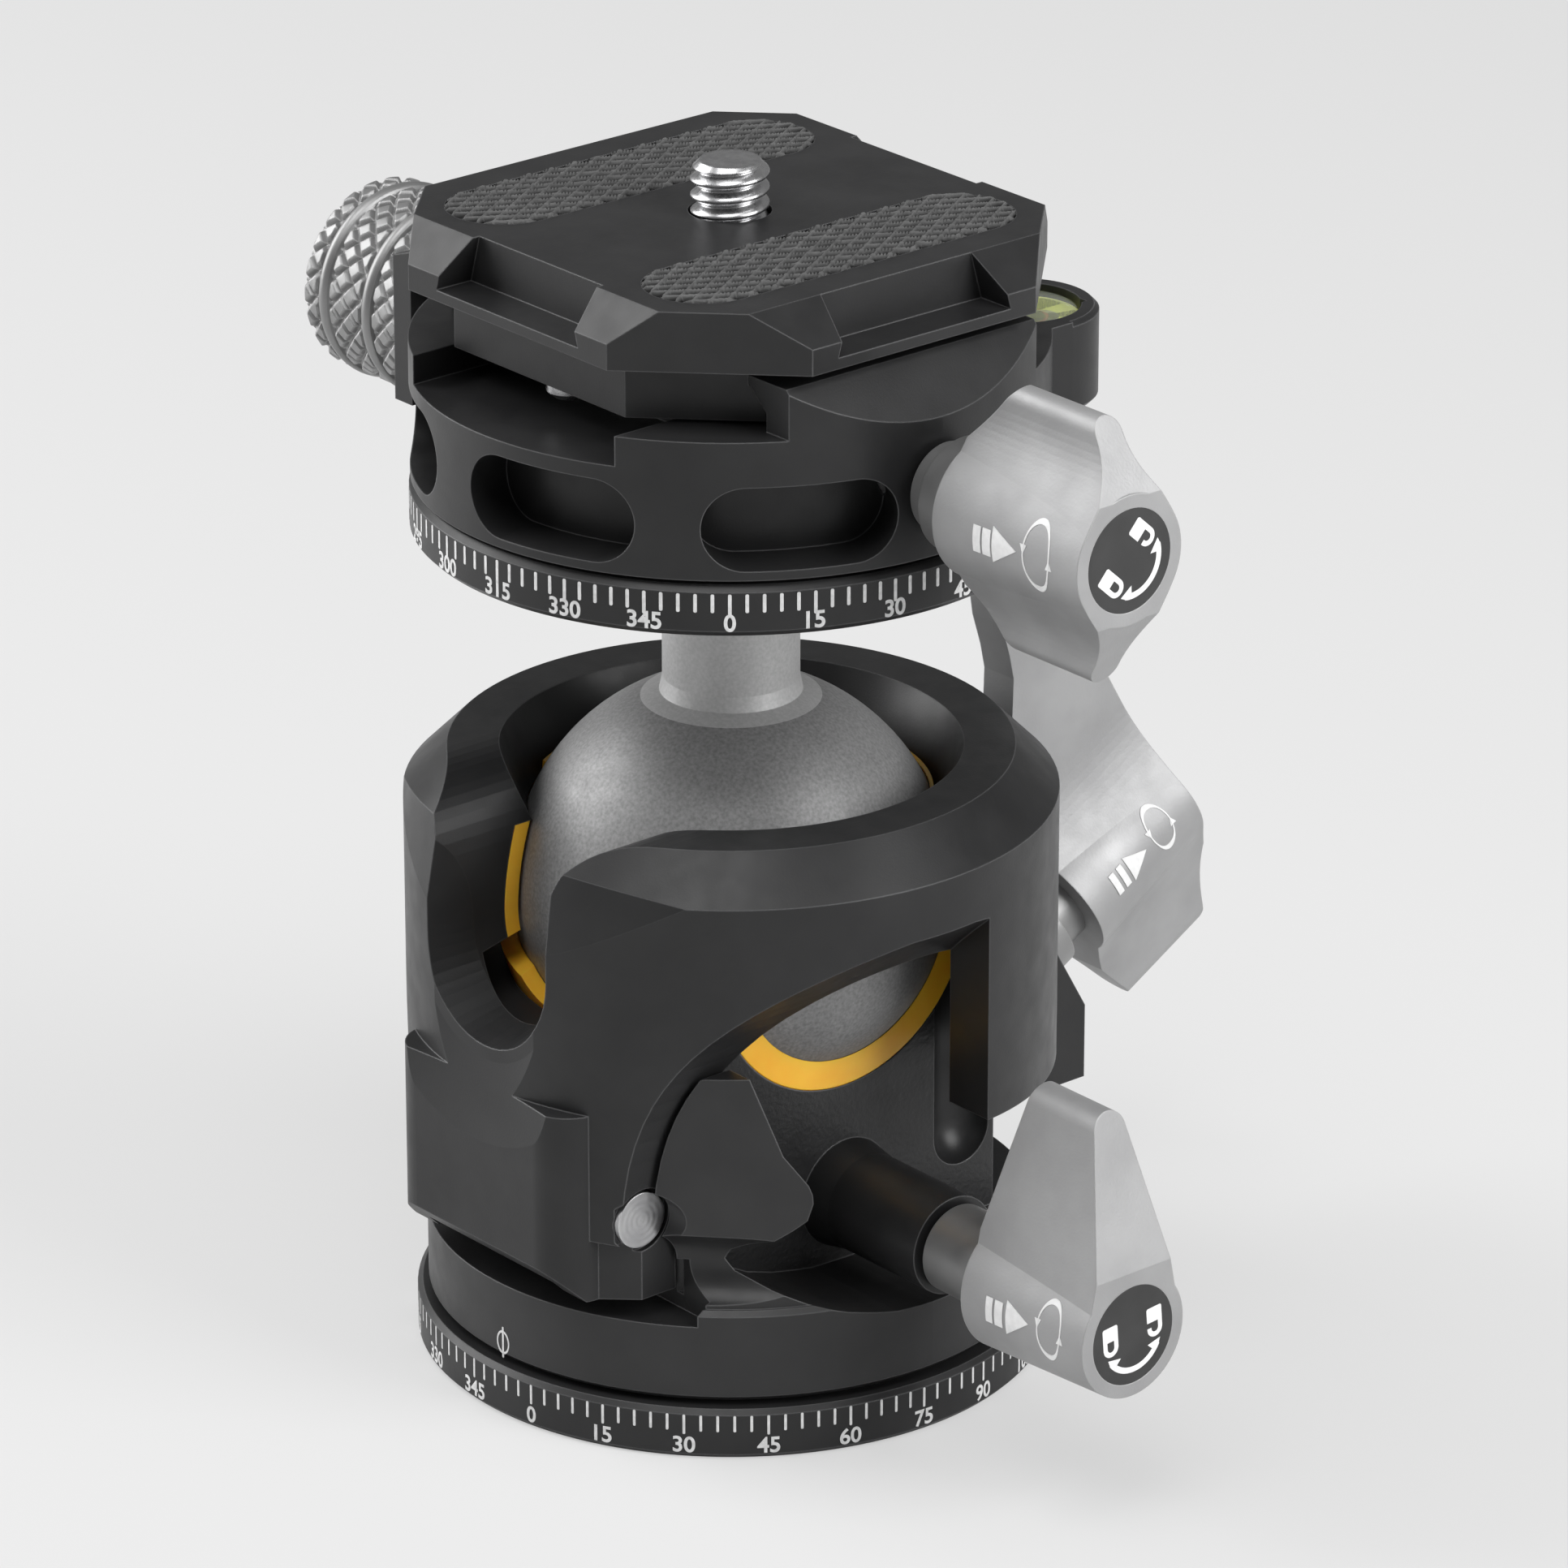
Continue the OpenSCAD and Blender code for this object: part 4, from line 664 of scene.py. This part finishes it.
def knob():
    """The clamp's knob, with its diamond knurl between plain rings."""
    collar, core_r = 2.3, 7.5
    cells, per_cell, knurl_r = 22, 16, 7.95
    ridge, slope = 0.54, 0.2
    rings, ring_reach, ring_half, ring_rise = (3.0, 8.6), 0.62, 0.66, 0.7
    steps, knurl_start = 104, 0.35
    count = cells * per_cell
    pitch = 2 * math.pi * knurl_r / cells

    def knurl(height, i, share):
        a, b = i / per_cell + height / pitch, i / per_cell - height / pitch
        near = min(abs(a - round(a)), abs(b - round(b)))
        return core_r + ridge * share * min(1.0, near / slope)

    def flat(height, radius):
        return height, [radius] * count

    rows = [flat(*row) for row in ((-collar, 5.0), (-collar + 0.3, 5.4), (0, 5.4), (0.02, 7.0))]
    for j in range(steps + 1):
        height = knurl_start + (KNOB_LENGTH - 2 * knurl_start) * j / steps
        to_ring = min(abs(height - (KNOB_LENGTH - ring)) for ring in rings)
        to_end = min(height - 0.3, KNOB_LENGTH - 0.3 - height)
        if to_ring < ring_reach:
            round_over = math.sqrt(max(0.0, 1 - (to_ring / ring_half) ** 2))
            rows.append(flat(height, core_r + ring_rise * round_over))
        else:
            share = min(1.0, (to_ring - ring_reach) / 0.3, 0.25 + to_end / 0.5)
            rows.append((height, [knurl(height, i, share) for i in range(count)]))
    rows += [flat(KNOB_LENGTH - depth, radius) for depth, radius in (
        (0.15, 7.0), (0, 6.5), (0, 6.1), (0.35, 5.9), (0.35, 2.6), (0.9, 2.4), (0.9, 0.4))]

    def place(radius, turn, height):
        return KNOB_X - height, radius * math.sin(turn), KNOB_Z + radius * math.cos(turn)

    made = piece("clamp_knob_knurled", *lathe(rows, place), knob_silver, "knob", smooth=False)
    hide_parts("clamp_knob")


knob()


def camera_screw():
    """The camera screw: the CAD model's head and neck, and a thread that winds above them."""
    count, steps = 72, 190
    root_r, crest_rise, crest_power = 2.36, 0.73, 0.62
    tip_root_r, tip_slope, tip_r = 2.35, 0.95, 1.9
    source = bmesh.new()
    source.from_mesh(nodes["camera_screw"].data)
    parts = source.verts[:] + source.edges[:] + source.faces[:]
    cutting = bmesh.ops.bisect_plane(source, geom=parts, plane_co=(0, 0, SCREW_NECK_TOP * MM),
                                     plane_no=(0, 0, 1), clear_outer=True)
    rim = [e for e in cutting["geom_cut"] if isinstance(e, bmesh.types.BMEdge)]
    bmesh.ops.holes_fill(source, edges=rim)
    head = [tuple(v.co / MM) for v in source.verts]
    source.verts.index_update()
    head_faces = [tuple(v.index for v in f.verts) for f in source.faces]
    source.free()
    rows = []
    for j in range(steps + 1):
        height = SCREW_NECK_TOP + (SCREW_TOP - SCREW_NECK_TOP) * j / steps
        radii = []
        for i in range(count):
            phase = (height / SCREW_PITCH - i / count) % 1.0
            ridge = 0.5 + 0.5 * math.cos(2 * math.pi * phase)
            radius = root_r + crest_rise * ridge ** crest_power
            radii.append(min(radius, tip_root_r + (SCREW_TOP - height) * tip_slope))
        rows.append((height, radii))
    rows.append((SCREW_TOP, [tip_r] * count))

    def place(radius, turn, height):
        return radius * math.cos(turn), radius * math.sin(turn), height

    points, faces = lathe(rows, place)
    start = len(points)
    points += head
    faces += [tuple(start + i for i in face) for face in head_faces]
    made = piece("camera_screw_threaded", points, faces, steel, "camera_screw")
    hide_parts("camera_screw")


camera_screw()


def grip_pads():
    """The grip pads, with a raised diamond net."""
    dimple_top, proud, dimple_depth, dimple_reach = 94.55, 0.5, 0.1, 0.4
    cell, lean, line_half = 1.42, 0.62, 0.20
    rows, columns, row_nip = 250, 66, 0.004
    rim, rim_share = 0.25, 0.2
    points, faces = [], []
    for side in (-1, 1):
        start = len(points)
        for j in range(rows + 1):
            y = -PAD_END * math.cos(math.pi * min(max(j / rows, row_nip), 1 - row_nip))
            past = max(0.0, abs(y) - (PAD_END - PAD_HALF))
            width = math.sqrt(max(PAD_HALF * PAD_HALF - past * past, 0.0))
            for i in range(columns + 1):
                x = width * (2 * i / columns - 1)
                a, b = (x + y * lean) / cell, (x - y * lean) / cell
                near = min(abs(a - round(a)), abs(b - round(b)))
                ridge = max(0.0, 1 - near / line_half)
                net = ridge * ridge * (3 - 2 * ridge)
                inner = math.hypot(*(abs(t - math.floor(t) - 0.5) for t in (a, b)))
                height = dimple_top + proud * net
                height -= dimple_depth * max(0.0, 1 - inner / dimple_reach)
                edge = min(PAD_HALF - math.hypot(x, past), rim) / rim
                share = 1 - rim_share + rim_share * max(edge, 0)
                points.append((side * PAD_X + x, y, PAD_FOOT + (height - PAD_FOOT) * share))
        for j in range(rows):
            for i in range(columns):
                k = start + j * (columns + 1) + i
                faces.append((k, k + 1, k + columns + 2, k + columns + 1))
        around = [start + i for i in range(columns + 1)]
        around += [start + j * (columns + 1) + columns for j in range(1, rows + 1)]
        around += [start + rows * (columns + 1) + i for i in range(columns - 1, -1, -1)]
        around += [start + j * (columns + 1) for j in range(rows - 1, 0, -1)]
        low = len(points)
        points.extend((points[k][0], points[k][1], PAD_FOOT) for k in around)
        for n, k in enumerate(around):
            m = (n + 1) % len(around)
            faces.append((k, around[m], low + m, low + n))
        faces.append(tuple(low + n for n in range(len(around))))
    made = piece("grip_pads_diamond", points, faces, rubber, "plate")
    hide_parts("grip_pads")


grip_pads()


def level():
    """The level's domed lens and its printed circle."""
    radius, dome_r, tip_r = 4.5, 4.4, 0.02
    foot, shoulder, dome_h = 1.1, 0.55, 0.53
    circle_depth, circle_r, circle_width = 1.13, 2.1, 0.3
    count, steps = 72, 14
    rows = [(LEVEL_TOP - foot, [radius] * count), (LEVEL_TOP - shoulder, [radius] * count)]
    for i in range(1, steps + 1):
        turn = math.pi / 2 * i / steps
        rows.append((LEVEL_TOP - shoulder + dome_h * math.sin(turn),
                     [dome_r * math.cos(turn) + tip_r] * count))

    def place(radius, turn, height):
        return LEVEL_X + radius * math.cos(turn), LEVEL_Y + radius * math.sin(turn), height

    made = piece("level_lens_domed", *lathe(rows, place), glass, "clamp")
    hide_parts("level_lens")

    def flat(u, v, lift):
        return LEVEL_X + u, LEVEL_Y + v, LEVEL_TOP - circle_depth + lift

    circle = Ink(flat, -0.01, 0.01)
    circle.ring(0, 0, circle_r, circle_width)
    circle.make("level_circle", ring_red, "clamp")


level()


def liner_lip():
    """The upper liner's lip, which shows inside the cap's mouth and stops at the drop notch."""
    section = [(15.86, 45.45), (15.72, 46.55), (16.02, 46.7), (16.14, 45.45)]
    count, start, stop = 90, -30, 210
    points, faces = [], []
    for i in range(count + 1):
        turn = math.radians(start + (stop - start) * i / count)
        points += [(r * math.cos(turn), r * math.sin(turn), z) for r, z in section]
    for i in range(count):
        for j in range(4):
            k = (j + 1) % 4
            faces.append((4 * i + j, 4 * i + k, 4 * i + 4 + k, 4 * i + 4 + j))
    faces += [(0, 1, 2, 3), tuple(4 * count + j for j in range(4))]
    piece("upper_liner_lip", points, faces, orange, "cap", smooth=False)


liner_lip()


# ---------- floor, light and camera ----------


def floor():
    """Pale paper that also glows a little to the camera, so that it looks the same all over."""
    size, glow_share, glossy_share = 6.0, 0.62, 0.3
    mesh = bpy.data.meshes.new("floor")
    mesh.from_pydata([(-size, -size, 0), (size, -size, 0), (size, size, 0), (-size, size, 0)],
                     [], [(0, 1, 2, 3)])
    made = bpy.data.objects.new("floor", mesh)
    bpy.context.scene.collection.objects.link(made)
    paint = Paint("floor_paper")
    paint.set(Roughness=0.9, Specular_IOR_Level=0.1, Base_Color=(*grey(0.66), 1))
    glow = paint.add("ShaderNodeEmission")
    glow.inputs["Color"].default_value = (*grey(0.79), 1)
    rays = paint.add("ShaderNodeLightPath")
    mirrored = paint.math("MULTIPLY", rays.outputs["Is Glossy Ray"], glossy_share)
    through = paint.math("MAXIMUM", mirrored, rays.outputs["Is Transmission Ray"])
    seen = paint.math("MAXIMUM", rays.outputs["Is Camera Ray"], through)
    mixer = paint.add("ShaderNodeMixShader")
    paint.join(paint.math("MULTIPLY", seen, glow_share), mixer.inputs[0])
    paint.join(paint.surface.outputs[0], mixer.inputs[1])
    paint.join(glow.outputs[0], mixer.inputs[2])
    paint.join(mixer.outputs[0], paint.tree.nodes["Material Output"].inputs["Surface"])
    mesh.materials.append(paint.done())
    made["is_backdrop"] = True


floor()

world = bpy.data.worlds.new("studio")
bpy.context.scene.world = world
world.use_nodes = True
sky = world.node_tree.nodes["Background"].inputs
sky["Color"].default_value = (1, 1, 1, 1)
sky["Strength"].default_value = 0.24

AIM = Vector((0, 0, 0.05))


def softbox(name, azimuth, elevation, distance, width, height, power):
    """A lamp that faces the object; angles in degrees, lengths in metres, power in watts."""
    data = bpy.data.lights.new(name, "AREA")
    data.shape, data.size, data.size_y, data.energy = "RECTANGLE", width, height, power
    lamp = bpy.data.objects.new(name, data)
    a, e = math.radians(azimuth), math.radians(elevation)
    towards = Vector((math.cos(a) * math.cos(e), math.sin(a) * math.cos(e), math.sin(e)))
    lamp.location = AIM + distance * towards
    lamp.rotation_euler = (AIM - lamp.location).to_track_quat("-Z", "Y").to_euler()
    bpy.context.scene.collection.objects.link(lamp)


softbox("left_softbox", -150, 24, 0.75, 0.5, 0.7, 6.0)
softbox("right_softbox", 20, 28, 0.75, 0.4, 0.6, 5.4)
softbox("top_softbox", -60, 70, 0.8, 0.5, 0.5, 3.4)

# the photograph's view, solved from the object's circles and upright lines; pixels of 1932
FOCAL_PIXELS, FRAME_PIXELS, SENSOR = 10734.06, 1932, 36
CAMERA_AT = (0.489934, -0.408224, 0.310331)
CAMERA_VIEW = Vector((-0.706169, 0.596256, -0.381843))
camera_data = bpy.data.cameras.new("camera")
camera_data.sensor_width = SENSOR
camera_data.lens = SENSOR * FOCAL_PIXELS / FRAME_PIXELS
camera_data.clip_end = 100
camera = bpy.data.objects.new("camera", camera_data)
camera.location = CAMERA_AT
camera.rotation_euler = CAMERA_VIEW.to_track_quat("-Z", "Y").to_euler()
bpy.context.scene.collection.objects.link(camera)
bpy.context.scene.camera = camera
bpy.context.scene.view_settings.view_transform = "Standard"

boxes = {"cad": cad_box, "visual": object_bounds()}
{name: [list(corner) for corner in box] for name, box in boxes.items()}
